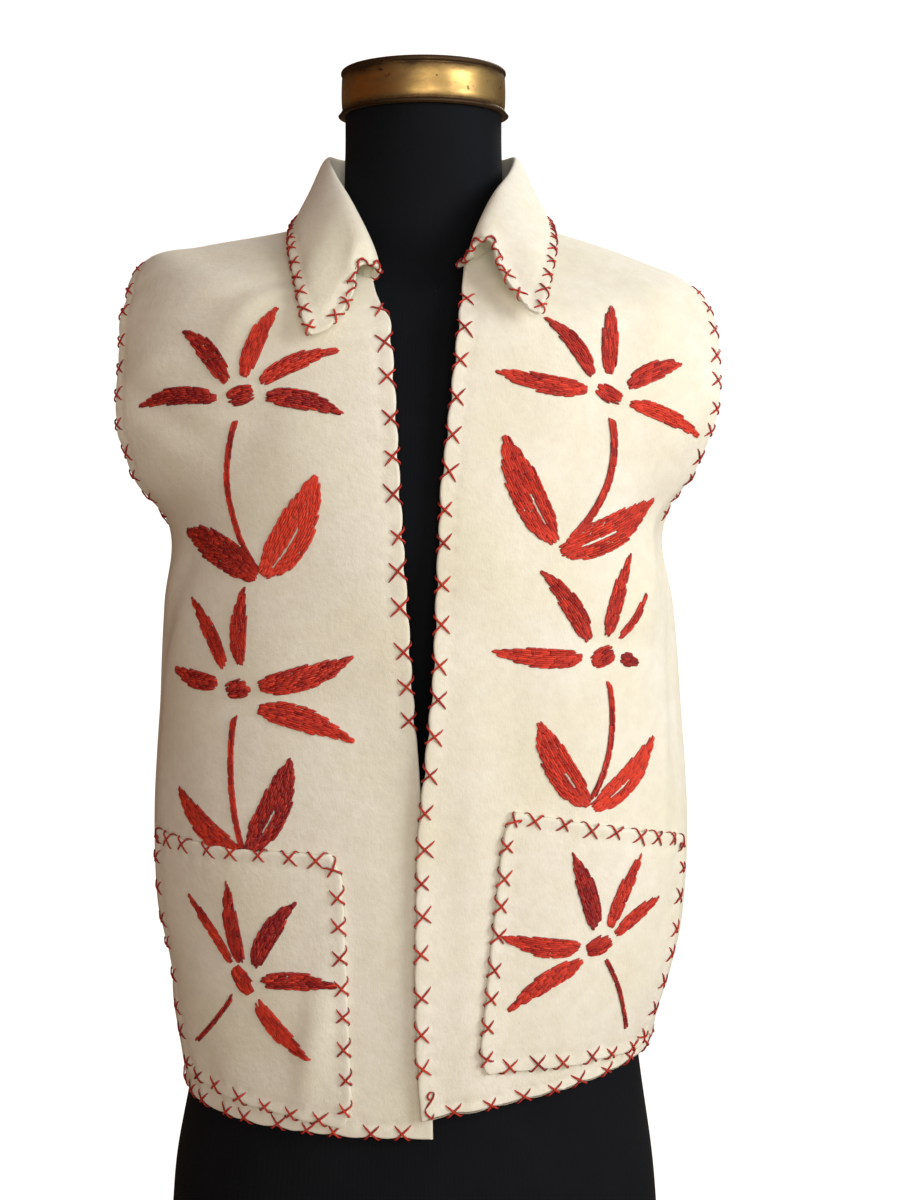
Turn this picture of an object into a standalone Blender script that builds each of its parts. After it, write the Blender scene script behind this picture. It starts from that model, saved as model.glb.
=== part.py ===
"""A sleeveless wool vest on the limbless dress form that it rests on.

Metres, +Z up. The front faces -Y, and left and right are the viewer's own, so left is -X.
The origin is the middle of the form's flat base.

Every cloth piece lies on one worn surface: rings round the body, each with a place along it
given by an angle, 0 at the front middle, 90 degrees at the right side, 180 at the back middle.
"""

import bpy
import numpy as np

COLLECTION = "wool_vest_on_dress_form"

# Driving dimensions
MM = 0.001
WALL = 2.6 * MM  # felted wool
SEAM_GAP = 0.8 * MM  # between cloth edges that are sewn together
PATCH_GAP = 0.8 * MM  # between a pocket and the front under it
LAP_LIFT = 4.2 * MM  # how far the right front stands out where it lies on the left one
LAP_TOP = 0.455  # height where the fronts start to lap
LAP_FULL = 0.395  # height below which the right front is fully lifted
LAP_WIDTH = 0.060  # width of the lifted strip beside the front edge

# The hem: level on the left, higher on the right
HEM_Z = 0.113
HEM_RISE_FRONT = 0.014
HEM_RISE_SIDE = 0.031
HEM_RISE_FADE = 0.180

# Rings of the worn cloth's outer face, mm, from the hem to the neckline. Each ring has its
# half width and height at the sides, its depth and height at the front and back middle, how
# far its quarters are fuller than an ellipse, where its middle lies, how much higher than its
# mean the left side is, and how far the cloth flares sideways towards an armhole.
RING_COLUMNS = (
    "side_x", "side_z", "front_y", "front_z", "back_y", "back_z", "full", "mid_x", "left_up",
    "flare",
)
VEST_RINGS = {
    "hem": (159.0, 113, 107, 113, 108, 113, 0.030, -2.5, 0, 0),
    "pocket_foot": (164.0, 145, 109, 145, 110, 145, 0.030, -2.0, 0, 0),
    "pocket_low": (171.0, 180, 111, 180, 112, 180, 0.035, -1.0, 0, 0),
    "pocket_mid": (178.5, 225, 113, 225, 113, 225, 0.040, -1.0, 0, 0),
    "pocket_top": (182.0, 295, 116, 295, 112, 295, 0.045, -1.0, 0, 0),
    "waist": (177.5, 370, 121, 370, 111, 370, 0.045, -2.0, 0, 0),
    "below_arm": (173.5, 435, 126, 435, 112, 435, 0.045, -2.5, 0, 0),
    "underarm": (169.5, 490, 128, 486, 114, 490, 0.045, -4.0, 0, 2),
    "arm_low": (180.0, 526, 127, 519, 115, 528, 0.035, -4.0, -2, 24),
    "arm_mid": (194.0, 568, 124, 552, 114, 568, 0.025, -3.5, 0, 31),
    "arm_high": (198.0, 615, 120, 585, 109, 612, 0.020, -3.0, 5, 20),
    "shoulder_tip": (187.0, 658, 113, 614, 99, 650, 0.020, -2.0, 9, 1),
    "shoulder_mid": (150.0, 672, 104, 628, 88, 670, 0.020, -1.0, 5, 0),
    "shoulder_in": (108.0, 683, 93, 641, 76, 686, 0.015, 0, 1.5, 0),
    "neckline": (71.0, 692, 79, 656, 65, 700, 0.000, 0, 0, 0),
}
UNDERARM = 7
SHOULDER_TIP = 11
NECKLINE = 14

# How far each armhole opens towards the front and the back, in degrees from the side
ARM_FRONT = 25.0
ARM_BACK = 24.0
ARM_ROUND = 0.62

# How far below the neckline's ring each front's own corner lies, in ring steps
NECK_DIP = {"left": 0.9, "right": 0.1, "back": 0.0}

# The two front edges: height against distance from the middle, mm
FRONT_EDGE_Z = (105, 160, 225, 300, 355, 400, 440, 480, 520, 560, 600, 660)
FRONT_EDGE_LEFT = (7.0, 6.0, 4.0, 1.5, -2.5, -5.5, -8.0, -10.5, -13.0, -15.0, -17.5, -22.0)
FRONT_EDGE_RIGHT = (0.0, -4.0, -4.5, -3.5, 1.5, 5.5, 7.5, 9.0, 11.0, 15.5, 20.0, 26.0)

# The largest soft folds, each a long shallow dent: where it lies round the body (degrees) and
# up it (mm), how it leans from level (degrees), half its length and width, and its depth (mm)
MEAN_RADIUS = 150  # of the worn cloth, mm
FOLD_COLUMNS = ("around", "height", "lean", "half_length", "half_width", "depth")
FOLDS = {
    "left_arm_hollow": (-62, 500, 30, 62, 26, 6.0),
    "left_shoulder_dent": (-66, 610, 60, 40, 20, 3.0),
    "left_side_step": (-86, 196, 10, 70, 22, 5.0),
    "right_arm_hollow": (64, 500, -35, 58, 24, 6.0),
    "right_long_crease": (70, 400, 78, 85, 18, 4.0),
    "right_shoulder_fold": (44, 612, 62, 45, 16, 3.0),
    "back_left_arm_hollow": (-122, 500, -30, 60, 24, 5.0),
    "back_right_arm_hollow": (122, 500, 30, 60, 24, 5.0),
    "back_waist_fold": (186, 350, 12, 110, 26, 4.0),
    "back_low_crease": (160, 235, 72, 80, 20, 3.5),
}

# Pockets: edges beside the front edge (mm from the middle, top and foot), at the side
# (degrees, top and foot), and heights at the inner and outer corners, mm
POCKETS = {
    "pocket_left": {
        "side": -1, "inner": (48, 42), "outer": (69, 66), "top": (293, 291), "foot": (120, 132),
    },
    "pocket_right": {
        "side": 1, "inner": (49, 32), "outer": (68, 62), "top": (319, 287), "foot": (143, 126),
    },
}
POCKET_CORNER = 7.0  # how far the corners draw in, mm
POCKET_SQUARE = 12  # how late along an edge that starts

# Collar sections, mm, by their angle from the front middle. Each goes on from the neckline
# seam with five points (x, y, z): on the stand, before and after the roll, on the fall and at
# the free edge. Those at the back serve both sides, and each front has its own.
COLLAR_BACK = {
    180: ((0, 61, 722), (0, 63, 740), (0, 70, 740.5), (0, 79, 718), (0, 87.5, 691)),
    150: ((30.5, 53, 721), (31.5, 56, 740), (35, 62, 740), (40, 69, 718), (45, 77, 691)),
    120: ((52.5, 30, 718), (54, 32, 739.5), (60, 35, 739.5), (67, 39, 717), (75, 45, 693)),
    90: ((60, 2, 716), (62, 2, 737), (68, 2, 736), (77, 2, 715), (87, 2, 694)),
    62: ((55, -31, 703), (57, -32, 722), (63, -35, 721), (76, -46, 698), (88, -60, 675)),
}
COLLAR_FRONT_RIGHT = {
    40: ((43, -60, 689), (45, -63, 704), (52, -69, 703), (67, -84, 676), (82, -95, 650)),
    26: ((32, -77, 672), (36, -83, 684), (45, -88, 682), (56, -101, 655), (77, -113, 633)),
    18: ((27, -86, 662), (33, -94, 671), (44, -98, 671), (52, -110, 646), (72, -121, 619)),
}
COLLAR_FRONT_LEFT = {
    40: ((43, -60, 686), (45, -63, 700), (52, -69, 699), (67, -86, 670), (80, -99, 642)),
    26: ((31, -81, 667), (35, -88, 677), (43, -93, 674), (52, -106, 646), (74, -118, 620)),
    18: ((25, -90, 653), (30, -98, 657), (40, -103, 654), (45, -114, 630), (67, -124, 606)),
}

# Rings of the form, mm, from its flat base to the top of its neck, with the same columns
FORM_RINGS = {
    "base": (166.0, 0, 110, 0, 114, 0, 0.020, -5, 0, 0),
    "hip": (165.0, 28, 108, 28, 112, 28, 0.020, -5, 0, 0),
    "low_hip": (162.0, 62, 105, 62, 108, 62, 0.025, -5, 0, 0),
    "under_hem": (154.5, 108, 101, 108, 103, 108, 0.025, -4, 0, 0),
    "high_hip": (146.0, 160, 95, 160, 95, 160, 0.025, -3, 0, 0),
    "flank": (131.0, 225, 88, 225, 85, 225, 0.025, -2, 0, 0),
    "waist": (123.0, 295, 84, 295, 78, 295, 0.025, -1, 0, 0),
    "ribs": (131.0, 365, 93, 365, 84, 365, 0.025, 0, 0, 0),
    "under_bust": (145.0, 425, 106, 425, 92, 425, 0.030, 0, 0, 0),
    "bust": (155.0, 480, 117, 478, 99, 480, 0.035, 0, 0, 0),
    "chest": (160.0, 530, 115, 524, 103, 530, 0.035, 0, 0, 0),
    "armhole": (165.0, 580, 108, 564, 102, 575, 0.030, 0, 2, 0),
    "high_chest": (168.5, 622, 100, 596, 96, 612, 0.020, 0, 5, 0),
    "shoulder_end": (163.5, 652, 93, 612, 86, 640, 0.010, 0, 6.5, 0),
    "shoulder_out": (146.0, 667.5, 86, 624, 77, 659, 0.010, 0, 4.6, 0),
    "shoulder_in": (105.0, 680.5, 77, 638, 68, 679, 0.000, 0, 1.5, 0),
    "neck_foot": (63.0, 687.5, 61, 655, 56, 692, 0.000, 0, 0, 0),
    "neck_low": (55.5, 703, 57, 684, 54.2, 708, 0.000, 1, 0, 0),
    "neck": (53.8, 738, 54.0, 735, 53.8, 738, 0.000, 1, 0, 0),
    "neck_top": (53.6, 766, 53.6, 766, 53.6, 766, 0.000, 1, 0, 0),
}
FORM_STEPS_ROUND = 32
FORM_STEPS_BETWEEN = 2
CAP_GAP = 0.3 * MM

# Turned brass cap on the neck: radius and height above the neck, mm
CAP_RADIUS = 56.7
CAP_PROFILE = (
    (0, 0), (55.2, 0), (CAP_RADIUS, 0.8), (CAP_RADIUS, 2.4), (56.0, 3.4), (56.2, 26.5),
    (CAP_RADIUS, 28.0), (56.3, 30.2), (54.8, 31.4), (51.5, 31.8), (0, 32.0),
)
CAP_STEPS = 40

# How finely the cloth is divided
BODY_ROWS = 15
ARM_ROWS = 11
SHOULDER_ROWS = 4
FRONT_COLUMNS = 15
BACK_COLUMNS = 26
POCKET_CELLS = (11, 10)
COLLAR_CELLS = (36, 12)


def through(rows, place):
    """A smooth line through the rows, read at place (0 at the first row, 1 at the second):
    between two rows a cubic whose slopes there are half the step from row before to row after."""
    rows = np.asarray(rows, float)
    place = np.clip(np.asarray(place, float), 0, len(rows) - 1)
    low = np.minimum(place.astype(int), len(rows) - 2)
    f = (place - low)[..., None]
    wide = np.concatenate([2 * rows[:1] - rows[1:2], rows, 2 * rows[-1:] - rows[-2:-1]])
    before, a, b, after = wide[low], wide[low + 1], wide[low + 2], wide[low + 3]
    slope_a = (b - before) / 2
    slope_b = (after - a) / 2
    return (
        (2 * f**3 - 3 * f**2 + 1) * a
        + (f**3 - 2 * f**2 + f) * slope_a
        + (3 * f**2 - 2 * f**3) * b
        + (f**3 - f**2) * slope_b
    )


def soft_step(value, start, end):
    """0 before start, 1 after end, and a smooth rise between them."""
    f = np.clip((value - start) / (end - start), 0, 1)
    return f * f * (3 - 2 * f)


def ring_at(rings, place):
    """The named columns of a ring table, read at a place along it."""
    values = through(list(rings.values()), place)
    return dict(zip(RING_COLUMNS, np.moveaxis(values, -1, 0)))


def ring_point(rings, around, place):
    """A point of a ring surface: a fuller ellipse in plan, flared sideways, whose height runs
    from the side's to the front's or back's with the square of the cosine."""
    ring = ring_at(rings, place)
    cos, sin = np.cos(around), np.sin(around)
    in_front = cos > 0
    depth = np.where(in_front, ring["front_y"], ring["back_y"])
    middle_z = np.where(in_front, ring["front_z"], ring["back_z"])
    bulge = 1 + ring["full"] * np.sin(2 * around) ** 2
    x = ring["mid_x"] + ring["side_x"] * sin * bulge + ring["flare"] * sin**5
    y = -depth * cos * bulge
    z = ring["side_z"] + (middle_z - ring["side_z"]) * cos**2 - ring["left_up"] * sin
    return np.stack([x, y, z], axis=-1) * MM


def hem_rise(around, panel):
    """How much higher than the left side the hem hangs: none on the left front, and more and
    more towards the right side on the other two panels."""
    if panel == "left":
        return np.zeros_like(around)
    if panel == "right":
        return HEM_RISE_FRONT + (HEM_RISE_SIDE - HEM_RISE_FRONT) * np.sin(around)
    return HEM_RISE_SIDE * (1 + np.sin(around)) / 2


def fold_depth(around, height):
    """The sum of the folds, each a bell shape, long one way and narrow the other."""
    total = np.zeros_like(around)
    for row in FOLDS.values():
        fold = dict(zip(FOLD_COLUMNS, row))
        off = (around - np.radians(fold["around"]) + np.pi) % (2 * np.pi) - np.pi
        across = off * MEAN_RADIUS
        up = height / MM - fold["height"]
        lean = np.radians(fold["lean"])
        along = (across * np.cos(lean) + up * np.sin(lean)) / fold["half_length"]
        aside = (up * np.cos(lean) - across * np.sin(lean)) / fold["half_width"]
        total += fold["depth"] * MM * np.exp(-(along**2) - aside**2)
    return total


def worn_point(around, place, panel):
    """The cloth's outer face before thickness: the ring surface, lower at the front corners of
    the neckline, with the hem's rise, the folds pressed in towards the body, and the right
    front lifted where it laps the left."""
    above_tip = soft_step(place, SHOULDER_TIP, NECKLINE)
    dipped = place - NECK_DIP[panel] * np.cos(around) ** 2 * above_tip
    point = ring_point(VEST_RINGS, around, dipped)
    height = point[..., 2]
    fade = np.clip(1 - (height - HEM_Z) / HEM_RISE_FADE, 0, 1) ** 2
    rise = hem_rise(around, panel) * fade
    inwards = fold_depth(around, height)
    if panel == "right":
        near = 1 - soft_step(point[..., 0], 0.4 * LAP_WIDTH, LAP_WIDTH)
        low = 1 - soft_step(height, LAP_FULL, LAP_TOP)
        inwards = inwards - LAP_LIFT * near * low
    out = np.stack([np.sin(around), -np.cos(around), np.zeros_like(around)], axis=-1)
    point = point - inwards[..., None] * out
    point[..., 2] += rise
    return point


def outward(around, place, panel):
    """Unit normals of the worn surface, from its slopes along and round the body."""
    step = 1e-4
    round_it = worn_point(around + step, place, panel) - worn_point(around - step, place, panel)
    up = worn_point(around, place + step, panel) - worn_point(around, place - step, panel)
    normal = np.cross(round_it, up)
    return normal / np.linalg.norm(normal, axis=-1, keepdims=True)


def arm_opening(place, widest):
    """How far the armhole's edge lies from the side, in radians: a rounded arch between the
    underarm and the shoulder tip, widest a little below its middle."""
    f = np.clip((place - UNDERARM) / (SHOULDER_TIP - UNDERARM), 0, 1)
    return np.radians(widest) * (4 * f * (1 - f)) ** ARM_ROUND


def ring_places():
    """Rows of a panel: even below the arms, closer at both ends of the armhole."""
    body = np.linspace(0, UNDERARM, BODY_ROWS + 1)
    arc = (1 - np.cos(np.linspace(0, np.pi, ARM_ROWS + 1))) / 2
    arm = UNDERARM + (SHOULDER_TIP - UNDERARM) * arc
    shoulder = np.linspace(SHOULDER_TIP, NECKLINE, SHOULDER_ROWS + 1)
    return np.concatenate([body, arm[1:], shoulder[1:]])


def seam_angle(place):
    """Half the seam gap, as an angle at the side: the gap over the ring's depth there."""
    return SEAM_GAP / 2 / (ring_at(VEST_RINGS, place)["front_y"] * MM)


def edge_angle(place, side):
    """The angle of a front edge: the arc sine of its distance over the ring's half width."""
    ring = ring_at(VEST_RINGS, place)
    table = FRONT_EDGE_LEFT if side < 0 else FRONT_EDGE_RIGHT
    distance = np.interp(ring["front_z"], FRONT_EDGE_Z, table) - ring["mid_x"]
    return np.arcsin(distance / ring["side_x"])


def surface_object(name, grid, material):
    """A mesh of one four-sided face for each cell of a grid of points."""
    rows, columns = grid.shape[:2]
    index = np.arange(rows * columns).reshape(rows, columns)
    faces = np.stack(
        [index[:-1, :-1], index[:-1, 1:], index[1:, 1:], index[1:, :-1]], axis=-1
    ).reshape(-1, 4)
    mesh = bpy.data.meshes.new(name)
    mesh.from_pydata(grid.reshape(-1, 3).tolist(), [], faces.tolist())
    return place_in_collection(name, mesh, material)


def place_in_collection(name, mesh, material):
    mesh.materials.append(material)
    mesh.shade_smooth()
    piece = bpy.data.objects.new(name, mesh)
    bpy.data.collections[COLLECTION].objects.link(piece)
    return piece


def give_wall(piece):
    """Cloth thickness, inwards from the modelled face."""
    wall = piece.modifiers.new("wall", "SOLIDIFY")
    wall.thickness = WALL
    wall.offset = -1
    wall.use_even_offset = True
    return piece


def make_material(name, color, roughness, metallic=0.0):
    material = bpy.data.materials.new(name)
    material.use_nodes = True
    shader = material.node_tree.nodes["Principled BSDF"]
    shader.inputs["Base Color"].default_value = (*color, 1)
    shader.inputs["Roughness"].default_value = roughness
    shader.inputs["Metallic"].default_value = metallic
    return material


def make_front(name, side, material):
    """A front: from its open edge round to the side seam, armhole and shoulder seam."""
    place = ring_places()[:, None]
    across = np.linspace(0, 1, FRONT_COLUMNS + 1)[None, :]
    inner = edge_angle(place, side)
    outer = np.pi / 2 - np.maximum(arm_opening(place, ARM_FRONT), seam_angle(place))
    around = inner + (side * outer - inner) * across
    if side < 0:
        around = around[:, ::-1]
    grid = worn_point(around, place + 0 * around, "left" if side < 0 else "right")
    return give_wall(surface_object(name, grid, material))


def make_back(name, material):
    """The back: from side seam to side seam, up to the armholes, shoulders and neckline."""
    place = ring_places()[:, None]
    across = np.linspace(-1, 1, BACK_COLUMNS + 1)[None, :]
    half = np.pi / 2 - np.maximum(arm_opening(place, ARM_BACK), seam_angle(place))
    around = np.pi + half * across
    return give_wall(surface_object(name, worn_point(around, place + 0 * around, "back"), material))


def height_place(height):
    """The place of a level ring at this height in mm, below the underarm."""
    fine = np.linspace(0, UNDERARM, 400)
    return np.interp(height, ring_at(VEST_RINGS, fine)["side_z"], fine)


def make_pocket(name, material, side, inner, outer, top, foot):
    """A patch pocket: the front's own surface between four edges, moved out from it."""
    across = np.linspace(0, 1, POCKET_CELLS[0] + 1)[None, :]
    up = (1 - np.cos(np.pi * np.linspace(0, 1, POCKET_CELLS[1] + 1)[:, None])) / 2
    foot_height = foot[0] + (foot[1] - foot[0]) * across
    top_height = top[0] + (top[1] - top[0]) * across
    height = foot_height + (top_height - foot_height) * up
    draw = POCKET_CORNER * np.abs(2 * up - 1) ** POCKET_SQUARE
    place = height_place(height)
    ring = ring_at(VEST_RINGS, place)
    inner_x = inner[1] + (inner[0] - inner[1]) * up + draw - side * ring["mid_x"]
    inner_angle = np.arcsin(inner_x / ring["side_x"])
    outer_angle = np.radians(outer[1] + (outer[0] - outer[1]) * up) - draw / ring["side_x"]
    around = side * (inner_angle + (outer_angle - inner_angle) * across)
    if side < 0:
        around, place = around[:, ::-1], place[:, ::-1]
    panel = "left" if side < 0 else "right"
    lift = WALL + PATCH_GAP
    grid = worn_point(around, place, panel) + lift * outward(around, place, panel)
    return give_wall(surface_object(name, grid, material))


def collar_sections():
    """Control sections from the left front end round the back to the right one. Each starts on
    the neckline, just inside the panels' edge."""
    right = {**COLLAR_BACK, **COLLAR_FRONT_RIGHT}
    left = {**COLLAR_BACK, **COLLAR_FRONT_LEFT}
    sections = []
    for angle in sorted(left):
        sections.append(collar_section(-angle, left[angle], -1))
    for angle in sorted(right, reverse=True)[1:]:
        sections.append(collar_section(angle, right[angle], 1))
    return np.array(sections)


def collar_section(degrees, points, side):
    """The seam point, a seam gap past the inner face's edge, then the table's points. They lie
    on the face that turns outwards on the fall, and the wall is behind it."""
    around = np.radians(float(degrees))
    panel = "back" if abs(degrees) > 90 else ("left" if side < 0 else "right")
    place = np.array(float(NECKLINE))
    edge = worn_point(around, place, panel)
    below = worn_point(around, place - 0.05, panel)
    along = (edge - below) / np.linalg.norm(edge - below)
    seam = edge - WALL * outward(around, place - 0.001, panel) + along * SEAM_GAP
    near = seam + along * 4 * MM
    mirrored = np.array(points, float) * np.array([side, 1, 1]) * MM
    return np.vstack([seam, near, mirrored])


def make_collar(name, material):
    """A surface through the collar's sections, smooth along and across."""
    sections = collar_sections()
    count, points = sections.shape[:2]
    along = np.linspace(0, count - 1, COLLAR_CELLS[0] + 1)
    across = np.linspace(0, points - 1, COLLAR_CELLS[1] + 1)
    lengthwise = through(sections.reshape(count, -1), along).reshape(-1, points, 3)
    grid = through(lengthwise.transpose(1, 0, 2).reshape(points, -1), across)
    grid = grid.reshape(len(across), len(along), 3)
    return give_wall(surface_object(name, grid, material))


def make_form(name, material):
    """The form: its rings joined into one closed skin, flat at the base and the neck's top."""
    rings = len(FORM_RINGS)
    place = np.linspace(0, rings - 1, (rings - 1) * FORM_STEPS_BETWEEN + 1)[:, None]
    around = np.linspace(0, 2 * np.pi, FORM_STEPS_ROUND, endpoint=False)[None, :]
    grid = ring_point(FORM_RINGS, around + 0 * place, place + 0 * around)
    rows, columns = grid.shape[:2]
    index = np.arange(rows * columns).reshape(rows, columns)
    beside = np.roll(index, -1, axis=1)
    faces = np.stack([index[:-1], beside[:-1], beside[1:], index[1:]], axis=-1).reshape(-1, 4)
    mesh = bpy.data.meshes.new(name)
    caps = [index[0][::-1].tolist(), index[-1].tolist()]
    mesh.from_pydata(grid.reshape(-1, 3).tolist(), [], faces.tolist() + caps)
    piece = place_in_collection(name, mesh, material)
    mesh.set_sharp_from_angle(angle=np.radians(50))
    return piece


def make_cap(name, material):
    """The turned neck cap: half its outline, screwed once round the upright axis."""
    mesh = bpy.data.meshes.new(name)
    outline = [(radius * MM, 0, height * MM) for radius, height in CAP_PROFILE[::-1]]
    edges = [(i, i + 1) for i in range(len(outline) - 1)]
    mesh.from_pydata(outline, edges, [])
    piece = place_in_collection(name, mesh, material)
    neck_top = dict(zip(RING_COLUMNS, FORM_RINGS["neck_top"]))
    piece.location = (neck_top["mid_x"] * MM, 0, neck_top["side_z"] * MM + CAP_GAP)
    turn = piece.modifiers.new("turn", "SCREW")
    turn.steps = CAP_STEPS
    turn.render_steps = CAP_STEPS
    turn.use_merge_vertices = True
    turn.merge_threshold = 1e-5
    return piece


def clear_scene():
    for old in list(bpy.data.objects):
        bpy.data.objects.remove(old, do_unlink=True)


def main():
    clear_scene()
    collection = bpy.data.collections.new(COLLECTION)
    bpy.context.scene.collection.children.link(collection)
    wool = (0.83, 0.76, 0.62)
    make_front("vest_front_left", -1, make_material("wool_front_left", wool, 0.95))
    make_front("vest_front_right", 1, make_material("wool_front_right", wool, 0.95))
    make_back("vest_back", make_material("wool_back", wool, 0.95))
    make_collar("collar", make_material("wool_collar", wool, 0.95))
    for name, pocket in POCKETS.items():
        make_pocket(name, make_material("wool_" + name, wool, 0.95), **pocket)
    make_form("form_body", make_material("black_jersey", (0.008, 0.009, 0.01), 0.9))
    make_cap("form_neck_cap", make_material("aged_brass", (0.26, 0.17, 0.07), 0.4, 0.9))


main()
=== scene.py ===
"""The looks of a cream felted-wool vest, sewn and embroidered in red, on its black dress form.

Metres, +Z up, the front faces -Y, and left and right are the viewer's own, so left is -X.

Every cloth piece is a face worked out from two parameters. On the panels and pockets they are
the angle round the body (0 at the front middle, 90 degrees at the right side, 180 at the back)
and a place along a table of rings, counted from the hem up. On the collar they are the place
along it and the place across it. A face is made into felt with a wall and rounded rims, and
the sewing is laid on the same face.
"""

import bpy
import numpy as np
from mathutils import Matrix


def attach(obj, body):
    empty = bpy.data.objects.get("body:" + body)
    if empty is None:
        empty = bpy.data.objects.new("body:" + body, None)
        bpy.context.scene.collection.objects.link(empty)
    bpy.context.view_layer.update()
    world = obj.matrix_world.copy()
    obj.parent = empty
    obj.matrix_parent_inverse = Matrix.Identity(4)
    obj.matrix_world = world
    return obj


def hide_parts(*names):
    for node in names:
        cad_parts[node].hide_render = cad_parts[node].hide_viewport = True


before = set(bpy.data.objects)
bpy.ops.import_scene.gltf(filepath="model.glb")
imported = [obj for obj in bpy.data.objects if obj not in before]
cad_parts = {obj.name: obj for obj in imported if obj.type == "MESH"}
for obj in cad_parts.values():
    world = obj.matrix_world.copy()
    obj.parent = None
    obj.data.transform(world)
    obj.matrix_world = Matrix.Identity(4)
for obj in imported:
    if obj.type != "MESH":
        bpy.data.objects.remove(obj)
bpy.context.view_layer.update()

# Sizes of the cloth and its seams
MM = 0.001
WALL = 2.6 * MM  # felted wool
SEAM_GAP = 0.16 * MM  # a sewn seam, closed up to a fine groove
PATCH_LIFT = 3.4 * MM  # a pocket's outer face above the front's: its wall and a gap
LAP_LIFT = 4.2 * MM  # how far the right front stands out where it lies on the left one
LAP_WIDTH = 60 * MM  # from the middle to where it has stopped standing out
LAP_FULL = 395 * MM  # it stands out in full below this height, and not at all above the next
LAP_TOP = 455 * MM
LAP_CURL = 3.2 * MM  # how far its edge curls up there, and how wide, mm
LAP_CURL_WIDE = 10
HEM_Z = 113 * MM  # the hem's height on the left
HEM_RISE_FRONT = 14 * MM  # how much higher it hangs at the right front's edge and right side
HEM_RISE_SIDE = 31 * MM
HEM_RISE_FADE = 180 * MM  # above the hem, where the cloth hangs level again
RIM_STEPS = 5  # rings of points round a felt edge
HOLE_DEEP = 1.2 * MM  # how far a stitch draws the cloth in, and how wide
HOLE_WIDE = 3.0 * MM
PULL_IN = 1.5 * MM  # how far a stitch draws the edge back, and how wide
PULL_WIDE = 6.0 * MM

# Rings of the worn cloth's outer face, mm, from the hem to the neckline: half width and height
# at the sides, depth and height at the front and back middle, how far the quarters are fuller
# than an ellipse, where the middle lies, how much higher the left side is, and the flare
RING_COLUMNS = (
    "side_x", "side_z", "front_y", "front_z", "back_y", "back_z", "full", "mid_x", "left_up",
    "flare",
)
VEST_RINGS = {
    "hem": (159.0, 113, 107, 113, 108, 113, 0.030, -2.5, 0, 0),
    "pocket_foot": (164.0, 145, 109, 145, 110, 145, 0.030, -2.0, 0, 0),
    "pocket_low": (171.0, 180, 111, 180, 112, 180, 0.035, -1.0, 0, 0),
    "pocket_mid": (178.5, 225, 113, 225, 113, 225, 0.040, -1.0, 0, 0),
    "pocket_top": (182.0, 295, 116, 295, 112, 295, 0.045, -1.0, 0, 0),
    "waist": (177.5, 370, 121, 370, 111, 370, 0.045, -2.0, 0, 0),
    "below_arm": (173.5, 435, 126, 435, 112, 435, 0.045, -2.5, 0, 0),
    "underarm": (169.5, 490, 128, 486, 114, 490, 0.045, -4.0, 0, 2),
    "arm_low": (180.0, 526, 127, 519, 115, 528, 0.035, -4.0, -2, 24),
    "arm_mid": (194.0, 568, 124, 552, 114, 568, 0.025, -3.5, 0, 31),
    "arm_high": (198.0, 615, 120, 585, 109, 612, 0.020, -3.0, 5, 20),
    "shoulder_tip": (187.0, 658, 113, 614, 99, 650, 0.020, -2.0, 9, 1),
    "shoulder_mid": (150.0, 672, 104, 628, 88, 670, 0.020, -1.0, 5, 0),
    "shoulder_in": (108.0, 683, 93, 641, 76, 686, 0.015, 0, 1.5, 0),
    "neckline": (71.0, 692, 79, 656, 65, 700, 0.000, 0, 0, 0),
}
UNDERARM = 7  # the places of three of these rings
SHOULDER_TIP = 11
NECKLINE = 14
ARM_FRONT = 25.0  # how far the armholes open before the side and behind it, degrees
ARM_BACK = 24.0
ARM_ROUND = 0.62  # the power that rounds them
NECK_DIP = {"left": 0.9, "right": 0.1, "back": 0.0}  # in front middle, in steps between rings

# The two front edges: height against distance from the middle, mm
FRONT_EDGE_Z = (105, 160, 225, 300, 355, 400, 440, 480, 520, 560, 600, 660)
FRONT_EDGE_LEFT = (7.0, 6.0, 4.0, 1.5, -2.5, -5.5, -8.0, -10.5, -13.0, -15.0, -17.5, -22.0)
FRONT_EDGE_RIGHT = (0.0, -4.0, -4.5, -3.5, 1.5, 5.5, 7.5, 9.0, 11.0, 15.5, 20.0, 26.0)

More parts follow.
